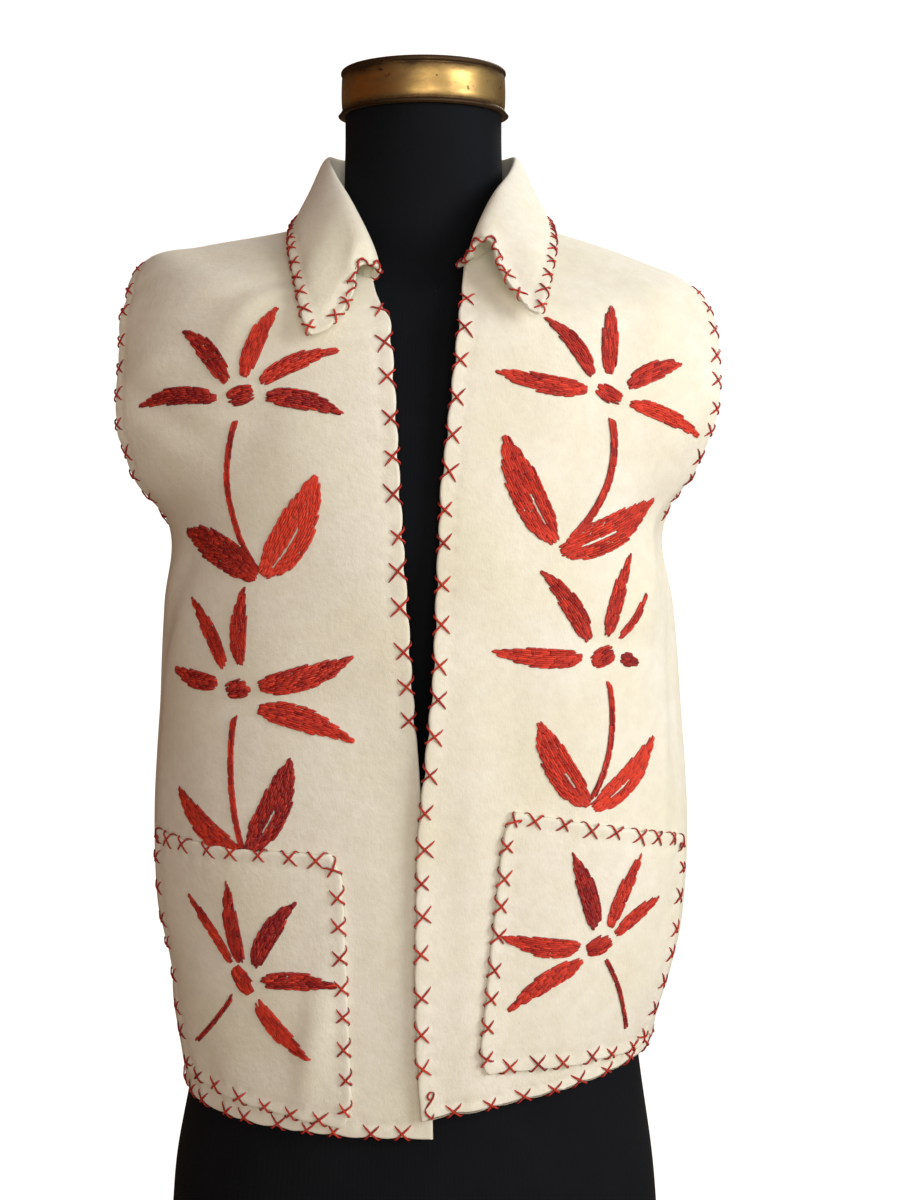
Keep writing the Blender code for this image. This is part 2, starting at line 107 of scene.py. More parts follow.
# Folds and creases: place round the body (degrees) and up it (mm), lean from level (degrees),
# half length and half width, and depth (mm), negative for a ridge. The first ten are the
# solids' own, and the finer ones follow, front first.
MEAN_RADIUS = 150  # mm, by which an angle round the body becomes a distance
FOLD_COLUMNS = ("around", "height", "lean", "half_length", "half_width", "depth")
FOLDS = {
    "left_arm_hollow": (-62, 500, 30, 62, 26, 6.0),
    "left_shoulder_dent": (-66, 610, 60, 40, 20, 3.0),
    "left_side_step": (-86, 196, 10, 70, 22, 5.0),
    "right_arm_hollow": (64, 500, -35, 58, 24, 6.0),
    "right_long_crease": (70, 400, 78, 85, 18, 4.0),
    "right_shoulder_fold": (44, 612, 62, 45, 16, 3.0),
    "back_left_arm_hollow": (-122, 500, -30, 60, 24, 5.0),
    "back_right_arm_hollow": (122, 500, 30, 60, 24, 5.0),
    "back_waist_fold": (186, 350, 12, 110, 26, 4.0),
    "back_low_crease": (160, 235, 72, 80, 20, 3.5),
    "left_shoulder_pull": (-72, 640, 28, 30, 8, 2.4),
    "left_shoulder_drape": (-52, 566, -36, 34, 10, 2.4),
    "left_collar_fall": (-34, 630, 74, 34, 9, -1.8),
    "left_hollow_edge": (-70, 548, 12, 40, 9, -2.4),
    "right_chest_drape": (30, 520, 64, 52, 12, 1.6),
    "right_long_ridge": (60, 470, 70, 60, 11, -2.4),
    "left_arm_ridge": (-58, 535, 24, 40, 12, -2.6),
    "left_shoulder_roll": (-44, 628, 35, 36, 11, 2.2),
    "left_shoulder_ridge": (-54, 596, 48, 38, 12, -2.0),
    "left_chest_dent": (-30, 560, 70, 34, 14, 1.8),
    "left_waist_crease": (-34, 385, 8, 58, 11, 2.2),
    "left_side_drag": (-66, 430, 55, 60, 12, 2.8),
    "left_side_fold": (-78, 330, 84, 70, 13, 3.2),
    "left_pocket_ridge": (-22, 176, 78, 50, 8, -3.2),
    "left_hem_wave": (-52, 132, 80, 30, 12, 1.6),
    "right_collar_drag": (38, 590, 68, 44, 9, 2.2),
    "right_shoulder_ridge": (52, 628, 52, 36, 10, -2.3),
    "right_shoulder_pull": (60, 590, 44, 34, 10, 2.4),
    "right_arm_pull": (72, 520, -50, 36, 10, 2.8),
    "right_side_ridge": (62, 372, 80, 74, 11, -2.6),
    "right_waist_crease": (46, 418, -12, 46, 10, 1.8),
    "right_pocket_dent": (55, 225, 70, 44, 12, 1.2),
    "right_hem_wave": (42, 140, 74, 26, 11, 1.3),
    "back_yoke_roll": (196, 640, 8, 72, 12, 1.7),
    "back_left_blade": (-140, 585, 62, 46, 13, 1.9),
    "back_right_blade": (146, 570, -58, 52, 12, 2.2),
    "back_left_pull": (-128, 455, 34, 54, 10, 1.6),
    "back_right_pull": (135, 440, -40, 48, 10, 1.9),
    "back_middle_ridge": (176, 300, 84, 78, 12, -1.7),
    "back_left_drop": (-152, 250, 80, 74, 12, 2.0),
    "back_right_drop": (128, 180, 76, 52, 12, 1.8),
    "back_hem_wave": (-168, 140, 82, 34, 14, 2.0),
}
# Slow waviness of hand-felted cloth: waves round the body and up it, and height, mm
RIPPLES = ((5, 0.021, 0.9, 0.5), (9, -0.013, 2.1, 0.35), (13, 0.034, 4.0, 0.25))

# Pockets: edges beside the front edge (mm from the middle, top and foot), at the side
# (degrees, top and foot), and heights at the inner and outer corners, mm
POCKETS = {
    "left": {"inner": (48, 42), "outer": (69, 66), "top": (293, 291), "foot": (120, 132)},
    "right": {"inner": (49, 32), "outer": (68, 62), "top": (319, 287), "foot": (143, 126)},
}
POCKET_CORNER = 7.0  # mm, how far its sides draw in at the corners, and the power that keeps
POCKET_SQUARE = 12  # them straight up to there

# Collar sections, mm, by their angle from the front middle: from the stand over the roll to
# the free edge. Those at the back serve both sides, and each front has its own.
COLLAR_BACK = {
    180: ((0, 61, 722), (0, 63, 740), (0, 70, 740.5), (0, 79, 718), (0, 87.5, 691)),
    150: ((30.5, 53, 721), (31.5, 56, 740), (35, 62, 740), (40, 69, 718), (45, 77, 691)),
    120: ((52.5, 30, 718), (54, 32, 739.5), (60, 35, 739.5), (67, 39, 717), (75, 45, 693)),
    90: ((60, 2, 716), (62, 2, 737), (68, 2, 736), (77, 2, 715), (87, 2, 694)),
    62: ((55, -31, 703), (57, -32, 722), (63, -35, 721), (76, -46, 698), (88, -60, 675)),
}
COLLAR_FRONT_RIGHT = {
    40: ((43, -60, 689), (45, -63, 704), (52, -69, 703), (67, -84, 676), (82, -95, 650)),
    26: ((32, -77, 672), (36, -83, 684), (45, -88, 682), (56, -101, 655), (77, -113, 633)),
    18: ((27, -86, 662), (33, -94, 671), (44, -98, 671), (52, -110, 646), (72, -121, 619)),
}
COLLAR_FRONT_LEFT = {
    40: ((43, -60, 686), (45, -63, 700), (52, -69, 699), (67, -86, 670), (80, -99, 642)),
    26: ((31, -81, 667), (35, -88, 677), (43, -93, 674), (52, -106, 646), (74, -118, 620)),
    18: ((25, -90, 653), (30, -98, 657), (40, -103, 654), (45, -114, 630), (67, -124, 606)),
}
COLLAR_NEAR = 4 * MM  # the stand's first point past the seam
COLLAR_SEAM = -0.5 * MM  # sewn a little into the neckline
COLLAR_ROUND = 0.065  # the share of its width by which its corners are rounded, and from how
COLLAR_ROUND_FROM = 0.55  # near the ends, in steps between sections

# Rings of the form, mm, from its flat base to the top of its neck, with the same columns
FORM_RINGS = {
    "base": (166.0, 0, 110, 0, 114, 0, 0.020, -5, 0, 0),
    "hip": (165.0, 28, 108, 28, 112, 28, 0.020, -5, 0, 0),
    "low_hip": (162.0, 62, 105, 62, 108, 62, 0.025, -5, 0, 0),
    "under_hem": (154.5, 108, 101, 108, 103, 108, 0.025, -4, 0, 0),
    "high_hip": (146.0, 160, 95, 160, 95, 160, 0.025, -3, 0, 0),
    "flank": (131.0, 225, 88, 225, 85, 225, 0.025, -2, 0, 0),
    "waist": (123.0, 295, 84, 295, 78, 295, 0.025, -1, 0, 0),
    "ribs": (131.0, 365, 93, 365, 84, 365, 0.025, 0, 0, 0),
    "under_bust": (145.0, 425, 106, 425, 92, 425, 0.030, 0, 0, 0),
    "bust": (155.0, 480, 117, 478, 99, 480, 0.035, 0, 0, 0),
    "chest": (160.0, 530, 115, 524, 103, 530, 0.035, 0, 0, 0),
    "armhole": (165.0, 580, 108, 564, 102, 575, 0.030, 0, 2, 0),
    "high_chest": (168.5, 622, 100, 596, 96, 612, 0.020, 0, 5, 0),
    "shoulder_end": (163.5, 652, 93, 612, 86, 640, 0.010, 0, 6.5, 0),
    "shoulder_out": (146.0, 667.5, 86, 624, 77, 659, 0.010, 0, 4.6, 0),
    "shoulder_in": (105.0, 680.5, 77, 638, 68, 679, 0.000, 0, 1.5, 0),
    "neck_foot": (63.0, 687.5, 61, 655, 56, 692, 0.000, 0, 0, 0),
    "neck_low": (55.5, 703, 57, 684, 54.2, 708, 0.000, 1, 0, 0),
    "neck": (53.8, 738, 54.0, 735, 53.8, 738, 0.000, 1, 0, 0),
    "neck_top": (53.6, 766, 53.6, 766, 53.6, 766, 0.000, 1, 0, 0),
}
NECK_TOP_Z = 766 * MM
NECK_MID_X = 1 * MM
CAP_FOOT = NECK_TOP_Z + 0.3 * MM

# The cap's outline from its underside's middle over both rolled lips to its top's middle, mm
CAP_OUTLINE = (
    (0, 0), (54.4, 0), (55.6, 0.1), (56.5, 0.7), (56.8, 1.6), (56.5, 2.6), (55.7, 3.2),
    (55.4, 4.0), (55.8, 5.2), (56.15, 8), (56.3, 14), (56.25, 20), (56.0, 25.4), (55.6, 26.4),
    (55.7, 27.3), (56.4, 28.0), (56.7, 29.0), (56.4, 30.2), (55.4, 31.0), (53.8, 31.3),
    (50, 31.5), (30, 31.9), (0, 32.0),
)

# Sewing
SEED = 41
THREAD = 1.35 * MM  # of the edge stitches, across
FLOSS = 1.70 * MM  # of the embroidery, across
CROSS_WIDE = 13.0 * MM  # a cross along the edge
CROSS_DEEP = 10.0 * MM  # a cross in from the edge
TUCKED = 2.6 * MM  # how far round the rim it starts
LEFT_SEWN_FROM = 338  # mm up, where the right front stops covering the left one's edge
FRONT_SEWN_TO = 13.4  # ring place, under the collar
ARM_SEWN_FROM = 0.02  # steps between rings, from the armhole's corners
THREAD_POINTS = 15  # along an edge stitch

# Crosses along each kind of edge: how far apart, mm, and their share of the full size
CROSS_ROWS = {
    "front": (23.5, 1.0),
    "hem": (20.5, 0.92),
    "armhole": (18.0, 0.86),
    "pocket": (19.0, 0.88),
    "collar": (15.0, 0.72),
    "collar_end": (13.0, 0.72),
}
WHIPPED = 0.66  # the share of a collar end that is whip stitched, and how far apart
WHIP_STEP = 5.6 * MM

# The knotted loop of thread at the right front's lower corner: its three lengths, as distances
# from the middle and heights, mm
KNOT = (
    ((5.6, 141.2), (3.8, 142.4), (3.4, 144.4), (4.6, 146.2), (6.4, 146.6)),
    ((6.4, 146.6), (7.1, 145.2), (6.2, 142.4), (4.2, 139.2), (2.0, 136.0)),
    ((2.0, 136.0), (2.3, 133.6), (4.0, 131.2), (6.1, 129.6), (7.3, 132.6)),
)


def unit(vectors):
    """The vectors, each over its own length."""
    return vectors / np.linalg.norm(vectors, axis=-1, keepdims=True)


def dot(a, b):
    """The dot product, kept as a column."""
    return (a * b).sum(axis=-1, keepdims=True)


def through(rows, place):
    """A smooth line through the rows, read at place (0 at the first row, 1 at the second):
    between two rows a cubic whose slopes there are half the step from row before to row after."""
    rows = np.asarray(rows, float)
    place = np.asarray(place, float)
    low = np.clip(np.floor(place), 0, len(rows) - 2).astype(int)
    f = (place - low)[..., None]
    wide = np.concatenate([2 * rows[:1] - rows[1:2], rows, 2 * rows[-1:] - rows[-2:-1]])
    before, a, b, after = wide[low], wide[low + 1], wide[low + 2], wide[low + 3]
    slope_a = (b - before) / 2
    slope_b = (after - a) / 2
    return (
        (2 * f**3 - 3 * f**2 + 1) * a
        + (f**3 - 2 * f**2 + f) * slope_a
        + (3 * f**2 - 2 * f**3) * b
        + (f**3 - f**2) * slope_b
    )


def soft_step(value, start, end):
    """0 before start, 1 after end, and a smooth rise between them."""
    f = np.clip((value - start) / (end - start), 0, 1)
    return f * f * (3 - 2 * f)


def ring_at(rings, place):
    """The named columns of a ring table, read at a place along it."""
    values = through(list(rings.values()), place)
    return dict(zip(RING_COLUMNS, np.moveaxis(values, -1, 0)))


def ring_point(rings, around, place):
    """A point of a ring surface: a fuller ellipse in plan, flared sideways, whose height runs
    from the side's to the front's or back's with the square of the cosine."""
    ring = ring_at(rings, place)
    cos, sin = np.cos(around), np.sin(around)
    in_front = cos > 0
    depth = np.where(in_front, ring["front_y"], ring["back_y"])
    middle_z = np.where(in_front, ring["front_z"], ring["back_z"])
    bulge = 1 + ring["full"] * np.sin(2 * around) ** 2
    x = ring["mid_x"] + ring["side_x"] * sin * bulge + ring["flare"] * sin**5
    y = -depth * cos * bulge
    z = ring["side_z"] + (middle_z - ring["side_z"]) * cos**2 - ring["left_up"] * sin
    return np.stack([x, y, z], axis=-1) * MM


def hem_rise(around, panel):
    """How much higher than the left side the hem hangs: none on the left front, and more and
    more towards the right side on the other two panels."""
    if panel == "left":
        return np.zeros_like(around)
    if panel == "right":
        return HEM_RISE_FRONT + (HEM_RISE_SIDE - HEM_RISE_FRONT) * np.sin(around)
    return HEM_RISE_SIDE * (1 + np.sin(around)) / 2


def fold_depth(around, height):
    """The sum of the folds, each a bell shape, long one way and narrow the other, and of the
    felt's slow ripples, each a wave round the body that winds as it rises."""
    total = np.zeros_like(around)
    for row in FOLDS.values():
        fold = dict(zip(FOLD_COLUMNS, row))
        off = (around - np.radians(fold["around"]) + np.pi) % (2 * np.pi) - np.pi
        across = off * MEAN_RADIUS
        up = height / MM - fold["height"]
        lean = np.radians(fold["lean"])
        along = (across * np.cos(lean) + up * np.sin(lean)) / fold["half_length"]
        aside = (up * np.cos(lean) - across * np.sin(lean)) / fold["half_width"]
        total = total + fold["depth"] * MM * np.exp(-(along**2) - aside**2)
    for count, climb, start, depth in RIPPLES:
        total = total + depth * MM * np.sin(count * around + climb * height / MM + start)
    return total


def worn_point(around, place, panel):
    """The cloth's outer face: the ring surface, lower at the front corners of the neckline,
    with the hem's rise, the folds pressed in towards the body, and the right front lifted
    where it laps the left, with its edge curled up."""
    above_tip = soft_step(place, SHOULDER_TIP, NECKLINE)
    dipped = place - NECK_DIP[panel] * np.cos(around) ** 2 * above_tip
    point = ring_point(VEST_RINGS, around, dipped)
    height = point[..., 2]
    fade = np.clip(1 - (height - HEM_Z) / HEM_RISE_FADE, 0, 1) ** 2
    rise = hem_rise(around, panel) * fade
    inwards = fold_depth(around, height)
    if panel == "right":
        near = 1 - soft_step(point[..., 0], 0.4 * LAP_WIDTH, LAP_WIDTH)
        low = 1 - soft_step(height, LAP_FULL, LAP_TOP)
        past = (around - edge_angle(place, 1)) * MEAN_RADIUS / LAP_CURL_WIDE
        inwards = inwards - (LAP_LIFT * near + LAP_CURL * np.exp(-(past**2))) * low
    out = np.stack([np.sin(around), -np.cos(around), np.zeros_like(around)], axis=-1)
    point = point - inwards[..., None] * out
    point[..., 2] += rise
    return point


def slopes_at(face, p, q):
    """A face's point, its slopes along each parameter, by differences, and its unit normal."""
    step = 1e-4
    along_p = (face(p + step, q) - face(p - step, q)) / (2 * step)
    along_q = (face(p, q + step) - face(p, q - step)) / (2 * step)
    return face(p, q), along_p, along_q, unit(np.cross(along_p, along_q))


def panel_face(panel):
    """The outer face of a panel, by angle and ring place."""
    return lambda around, place: worn_point(around, place, panel)


def pocket_face(panel):
    """The outer face of a pocket: the panel's own, moved out along its normals."""

    def at(around, place):
        point, _, _, normal = slopes_at(panel_face(panel), around, place)
        return point + PATCH_LIFT * normal

    return at


def collar_section(degrees, points, side):
    """The seam point, a seam gap past the inner face's edge, then the table's points. They lie
    on the face that turns outwards on the fall, and the wall is behind it."""
    around = np.array(np.radians(float(degrees)))
    panel = "back" if abs(degrees) > 90 else ("left" if side < 0 else "right")
    place = np.array(float(NECKLINE))
    edge, _, along, normal = slopes_at(panel_face(panel), around, place)
    seam = edge - WALL * normal + unit(along) * COLLAR_SEAM
    near = seam + unit(along) * COLLAR_NEAR
    mirrored = np.array(points, float) * np.array([side, 1, 1]) * MM
    return np.vstack([seam, near, mirrored])


def collar_face():
    """The collar's face, by place along it (0 at the left front end) and across it (0 at the
    seam): smooth lines through its sections both ways."""
    right = {**COLLAR_BACK, **COLLAR_FRONT_RIGHT}
    left = {**COLLAR_BACK, **COLLAR_FRONT_LEFT}
    sections = [collar_section(-angle, left[angle], -1) for angle in sorted(left)]
    sections += [collar_section(angle, right[angle], 1) for angle in sorted(right)[-2::-1]]
    sections = np.array(sections)
    count, points = sections.shape[:2]
    basis = np.eye(points)

    def at(along, across):
        along, across = np.broadcast_arrays(along, across)
        rows = through(sections.reshape(count, -1), along).reshape(*along.shape, points, 3)
        return (rows * through(basis, across)[..., None]).sum(axis=-2)

    return at, count - 1, points - 1


def collar_round(along, last):
    """The share of its width that a collar has near its two ends, which rounds its corners."""
    near = np.clip(1 - np.minimum(along, last - along) / COLLAR_ROUND_FROM, 0, 1)
    return 1 - COLLAR_ROUND * near**2.2


def arm_opening(place, widest):
    """How far the armhole's edge lies from the side, in radians: a rounded arch between the
    underarm and the shoulder tip."""
    f = np.clip((place - UNDERARM) / (SHOULDER_TIP - UNDERARM), 0, 1)
    return np.radians(widest) * (4 * f * (1 - f)) ** ARM_ROUND


def seam_angle(place):
    """Half the seam gap, as an angle at the side: the gap over the ring's depth there."""
    return SEAM_GAP / 2 / (ring_at(VEST_RINGS, place)["front_y"] * MM)


def edge_angle(place, side):
    """The angle of a front edge: the arc sine of its distance over the ring's half width."""
    ring = ring_at(VEST_RINGS, place)
    table = FRONT_EDGE_LEFT if side < 0 else FRONT_EDGE_RIGHT
    distance = np.interp(ring["front_z"], FRONT_EDGE_Z, table) - ring["mid_x"]
    return np.arcsin(distance / ring["side_x"])


def bunched(count, edge_share, edge_count):
    """Places from 0 to 1: a count of even steps, and a count of closer ones in a strip at each
    end, which takes this share of the whole."""
    return np.concatenate([
        np.linspace(0, edge_share, edge_count, endpoint=False),
        np.linspace(edge_share, 1 - edge_share, count, endpoint=False),
        np.linspace(1 - edge_share, 1, edge_count + 1),
    ])


def ring_places():
    """Rows of a panel: close at the hem, even below the arms, close at the armhole's ends."""
    hem = np.linspace(0, 0.45, 10, endpoint=False)
    body = np.linspace(0.45, UNDERARM, 118)
    arc = (1 - np.cos(np.linspace(0, np.pi, 64))) / 2
    arm = UNDERARM + (SHOULDER_TIP - UNDERARM) * arc
    shoulder = np.linspace(SHOULDER_TIP, NECKLINE, 22)
    return np.concatenate([hem, body, arm[1:], shoulder[1:]])


def front_grid(side):
    """Angles and ring places of a front, from its open edge round to the side."""
    place = ring_places()[:, None]
    across = bunched(count=72, edge_share=0.075, edge_count=7)[None, :]
    inner = edge_angle(place, side)
    outer = np.pi / 2 - np.maximum(arm_opening(place, ARM_FRONT), seam_angle(place))
    around = inner + (side * outer - inner) * across
    return (around if side > 0 else around[:, ::-1]), place + 0 * across


def back_grid():
    """Angles and ring places of the back, from the right side round to the left one."""
    place = ring_places()[:, None]
    across = 2 * bunched(count=132, edge_share=0.03, edge_count=6)[None, :] - 1
    half = np.pi / 2 - np.maximum(arm_opening(place, ARM_BACK), seam_angle(place))
    return np.pi + half * across, place + 0 * across


def height_place(height):
    """The place of a level ring at this height in mm, below the underarm."""
    fine = np.linspace(0, UNDERARM, 400)
    return np.interp(height, ring_at(VEST_RINGS, fine)["side_z"], fine)


def pocket_place(side, across, up):
    """Angle and ring place of a point of a pocket, from its place across (0 at the inner edge)
    and up it: straight edges between the corners, which draw in."""
    pocket = POCKETS["left" if side < 0 else "right"]
    foot = pocket["foot"][0] + (pocket["foot"][1] - pocket["foot"][0]) * across
    top = pocket["top"][0] + (pocket["top"][1] - pocket["top"][0]) * across
    draw = POCKET_CORNER * np.abs(2 * up - 1) ** POCKET_SQUARE
    place = height_place(foot + (top - foot) * up)
    ring = ring_at(VEST_RINGS, place)
    inner, outer = pocket["inner"], pocket["outer"]
    inner_x = inner[1] + (inner[0] - inner[1]) * up + draw - side * ring["mid_x"]
    inner_angle = np.arcsin(inner_x / ring["side_x"])
    outer_angle = np.radians(outer[1] + (outer[0] - outer[1]) * up) - draw / ring["side_x"]
    return side * (inner_angle + (outer_angle - inner_angle) * across), place


def pocket_grid(side):
    """Angles and ring places of a pocket, always from left to right."""
    across = bunched(count=36, edge_share=0.12, edge_count=5)[None, :]
    up = bunched(count=48, edge_share=0.10, edge_count=6)[:, None]
    around, place = pocket_place(side, across + 0 * up, up + 0 * across)
    if side < 0:
        return around[:, ::-1], place[:, ::-1]
    return around, place


# Edges and the sewing along them


def make_edge(face, p, q, turn):
    """An edge of a face: its parameters read by length along it. turn is 1 where the inside
    lies to the left of someone who walks along it on the face, and -1 where to the right."""
    points = face(p, q)
    length = np.concatenate([[0], np.cumsum(np.linalg.norm(np.diff(points, axis=0), axis=1))])
    return {"face": face, "p": p, "q": q, "length": length, "turn": turn}


def beside_edge(edge, along, inwards, lift):
    """Points beside an edge: a length along it, a distance inwards over the face, and a lift
    off it. Within half a wall of the edge they go round the felt's rounded rim instead, and
    past its half turn back along the hidden side. Gives the points and the way up there."""
    face = edge["face"]

    def read(at):
        return np.interp(at, edge["length"], edge["p"]), np.interp(at, edge["length"], edge["q"])

    p, q = read(along)
    rim, slope_p, slope_q, normal = slopes_at(face, p, q)
    ahead, behind = face(*read(along + MM)), face(*read(along - MM))
    tangent = unit(ahead - behind)
    inner_way = edge["turn"] * np.cross(normal, tangent)
    radius = WALL / 2
    p, q = moved(slope_p, slope_q, p, q, np.maximum(inwards, radius)[..., None] * inner_way)
    over, _, _, up = slopes_at(face, p, q)
    turned = np.clip((radius - inwards) / radius, 0, np.pi)[..., None]
    past = np.maximum(radius - inwards - np.pi * radius, 0)[..., None]
    way = np.cos(turned) * normal - np.sin(turned) * inner_way
    centre = rim - radius * normal + radius * inner_way
    round_rim = centre + radius * way + past * inner_way
    flat = (inwards >= radius)[..., None]
    up = np.where(flat, up, way)
    return np.where(flat, over, round_rim) + lift[..., None] * up, up


def moved(slope_p, slope_q, p, q, shift):
    """Parameters moved by a vector along the face, by least squares on its two slopes."""
    pp, pq, qq = dot(slope_p, slope_p), dot(slope_p, slope_q), dot(slope_q, slope_q)
    sp, sq = dot(shift, slope_p), dot(shift, slope_q)
    base = pp * qq - pq * pq
    return p + ((sp * qq - sq * pq) / base)[..., 0], q + ((sq * pp - sp * pq) / base)[..., 0]


def stations(edge, start, end, spacing, rng):
    """Uneven places for stitches along an edge, a spacing apart on average."""
    reach = edge["length"][-1] - start - end
    count = max(int(round(reach / spacing)), 1)
    even = start + reach * (np.arange(count) + 0.5) / count
    return even + rng.uniform(-0.10, 0.10, count) * spacing


def cross_stitches(edge, places, rng, wide=CROSS_WIDE, deep=CROSS_DEEP):
    """Two threads for each cross. Each starts round the rim on the hidden side, runs slanting
    over the edge and ends in a hole inside it, and the second one rides over the first."""
    count = len(places)
    step = np.linspace(0, 1, THREAD_POINTS)[None, :]
    size = rng.uniform(0.86, 1.14, (count, 1))
    slant = rng.uniform(-0.16, 0.16, (count, 1)) * wide
    paths, ups, holes = [], [], []
    for way, lifted in ((1, 0), (-1, 1)):
        reach = deep * size * rng.uniform(0.88, 1.06, (count, 1))
        inwards = -TUCKED + (reach + TUCKED) * step
        along = places[:, None] + way * wide * size * (step - 0.56) + slant * step
        over = np.exp(-(((step - 0.56) / 0.16) ** 2)) * lifted * THREAD * 0.7
        ends = soft_step(step, 0.90, 1.0) * 1.5 * THREAD
        points, up = beside_edge(edge, along, inwards, 0.30 * THREAD + over - ends)
        paths.append(points)
        ups.append(up)
        holes.append(points[:, -1])
    rims, _ = beside_edge(edge, places, 0 * places, 0 * places)
    inner, _ = beside_edge(edge, places, 0 * places + 6 * MM, 0 * places)
    pulls = np.concatenate([rims, unit(inner - rims)], axis=1)
    return np.concatenate(paths), np.concatenate(ups), np.concatenate(holes), pulls


def whip_stitches(edge, places, rng):
    """Long slanting threads that go over the rim, leaning each way in turn, so that they lie
    almost along the edge."""
    count = len(places)
    step = np.linspace(0, 1, THREAD_POINTS)[None, :]
    way = np.where(np.arange(count) % 2, 1, -1)[:, None]
    reach = rng.uniform(2.4, 4.2, (count, 1)) * MM
    inwards = reach - (reach + 3.4 * MM) * soft_step(step, 0.15, 1.0)
    along = places[:, None] + way * rng.uniform(8, 11, (count, 1)) * MM * (step - 0.5)
    ends = (1 - soft_step(step, 0.0, 0.1)) * 1.2 * THREAD
    lift = (0.34 + 0.25 * (way > 0)) * THREAD - ends
    points, up = beside_edge(edge, along, inwards, lift)
    return points, up, points[:, 0], np.zeros((0, 6))


# Embroidery

# The hearts, which differ in their lean: a level one, a steep one and one that slopes down
HEART = (("heart", (-9, -2), (9, 3), 0, 12, 0.30),)
STEEP_HEART = (("heart", (-6, 8), (5, -8), 0, 12, 0.50),)
LOW_HEART = (("heart", (-8, 4), (9, -5), 0, 11, 0.50),)

# Each flower: where its heart lies on its piece (mm from the middle, height), and its parts:
# kind, where it starts and where it ends from the heart (mm, measured on the cloth, right and
# up), how far it bows to its left, its width, and its tone from 0, dark, to 1, bright. A
# part's tone is partly the floss's own dye and partly painted sheen and shade, set by how
# that part lies to the light.
FLOWERS = {
    "flower_upper_left": {"panel": "left", "heart": (-113, 574), "parts": HEART + (
        ("petal", (-16, -1), (-79, -6), -4, 11, 0.22),
        ("petal", (-9, 9), (-45, 42), -4, 13, 0.28),
        ("petal", (2, 12), (21, 58), 2, 12, 0.66),
        ("petal", (13, 9), (63, 29), 3, 11, 0.60),
        ("petal", (17, 0), (68, -11), 3, 12, 0.26),
        ("stem", (-3, -15), (15, -108), -15, 4, 0.45),
        ("blade", (13, -111), (-57, -87), -5, 19, 0.30),
        ("leaf", (17, -110), (52, -49), -5, 24, 1.0),
    )},
    "flower_middle_left": {"panel": "left", "heart": (-115, 391), "parts": HEART + (
        ("petal", (-15, 3), (-57, 8), 2, 12, 0.40),
        ("petal", (-9, 13), (-39, 56), -3, 11, 0.48),
        ("petal", (2, 16), (7, 66), 2, 12, 0.45),
        ("petal", (15, 3), (77, 24), -3, 15, 0.50),
        ("petal", (14, -11), (76, -29), 4, 15, 0.58),
        ("stem", (-2, -16), (2, -100), -5, 4, 0.40),
        ("blade", (2, -104), (-53, -68), 4, 16, 0.62),
        ("leaf", (6, -101), (36, -40), -4, 19, 0.20),
    )},
    "flower_upper_right": {"panel": "right", "heart": (116, 576), "parts": LOW_HEART + (
        ("petal", (-15, 2), (-74, 14), 2, 12, 0.56),
        ("petal", (-11, 11), (-39, 50), -3, 11, 0.34),
        ("petal", (2, 12), (11, 58), 2, 13, 0.44),
        ("petal", (14, 5), (58, 19), 3, 12, 0.52),
        ("petal", (15, -6), (74, -28), 2, 10, 0.80),
        ("stem", (2, -16), (-28, -90), 13, 5, 0.46),
        ("leaf", (-38, -92), (-70, -26), 3, 21, 0.58),
        ("leaf", (-35, -97), (49, -70), -2, 20, 0.66),
    )},
    "flower_middle_right": {"panel": "right", "heart": (113, 411), "parts": HEART + (
        ("petal", (-15, 1), (-75, 8), 2, 12, 0.56),
        ("petal", (-10, 11), (-44, 57), -3, 13, 0.40),
        ("petal", (3, 13), (24, 65), 2, 11, 0.52),
        ("petal", (12, 11), (37, 38), -2, 6, 0.50),
        ("petal", (14, -1), (29, -6), 0, 9, 0.08),
        ("stem", (4, -15), (-8, -88), 8, 4, 0.42),
        ("leaf", (-10, -92), (-44, -37), 3, 18, 0.60),
        ("leaf", (-7, -93), (44, -54), -4, 16, 0.86),
    )},
    "flower_pocket_left": {"panel": "left", "heart": (-112, 208), "parts": STEEP_HEART + (
        ("petal", (-8, 10), (-42, 48), -2, 7, 0.55),
        ("petal", (-1, 11), (-9, 62), 2, 11, 0.36),
        ("petal", (8, 10), (37, 53), 3, 12, 0.05),
        ("petal", (12, 1), (63, 3), 2, 11, 0.34),
        ("petal", (9, -12), (45, -45), -4, 12, 0.62),
        ("stem", (-8, -11), (-45, -51), 2, 3, 0.18),
    )},
    "flower_pocket_right": {"panel": "right", "heart": (111, 230), "parts": HEART + (
        ("petal", (-3, 11), (-20, 61), -2, 12, 0.08),
        ("petal", (7, 11), (30, 55), 2, 10, 0.60),
        ("petal", (11, 6), (48, 24), 2, 9, 0.52),
        ("petal", (-13, 1), (-65, 12), 3, 12, 0.52),
        ("petal", (-11, -8), (-60, -36), -3, 12, 0.62),
        ("stem", (5, -9), (29, -63), 2, 3, 0.10),
    )},
}


def spread(face, heart, right, up):
    """Parameters of points laid out on a face from its heart, in metres right and up along it:
    twelve short steps, each along the face's own level line and its steepest one."""
    count = 12
    p = np.full(right.shape, heart[0])
    q = np.full(right.shape, heart[1])
    for _ in range(count):
        _, slope_p, slope_q, normal = slopes_at(face, p, q)
        level = unit(np.cross(np.array([0.0, 0.0, 1.0]), normal))
        steep = np.cross(normal, level)
        shift = (right[..., None] * level + up[..., None] * steep) / count
        p, q = moved(slope_p, slope_q, p, q, shift)
    return p, q


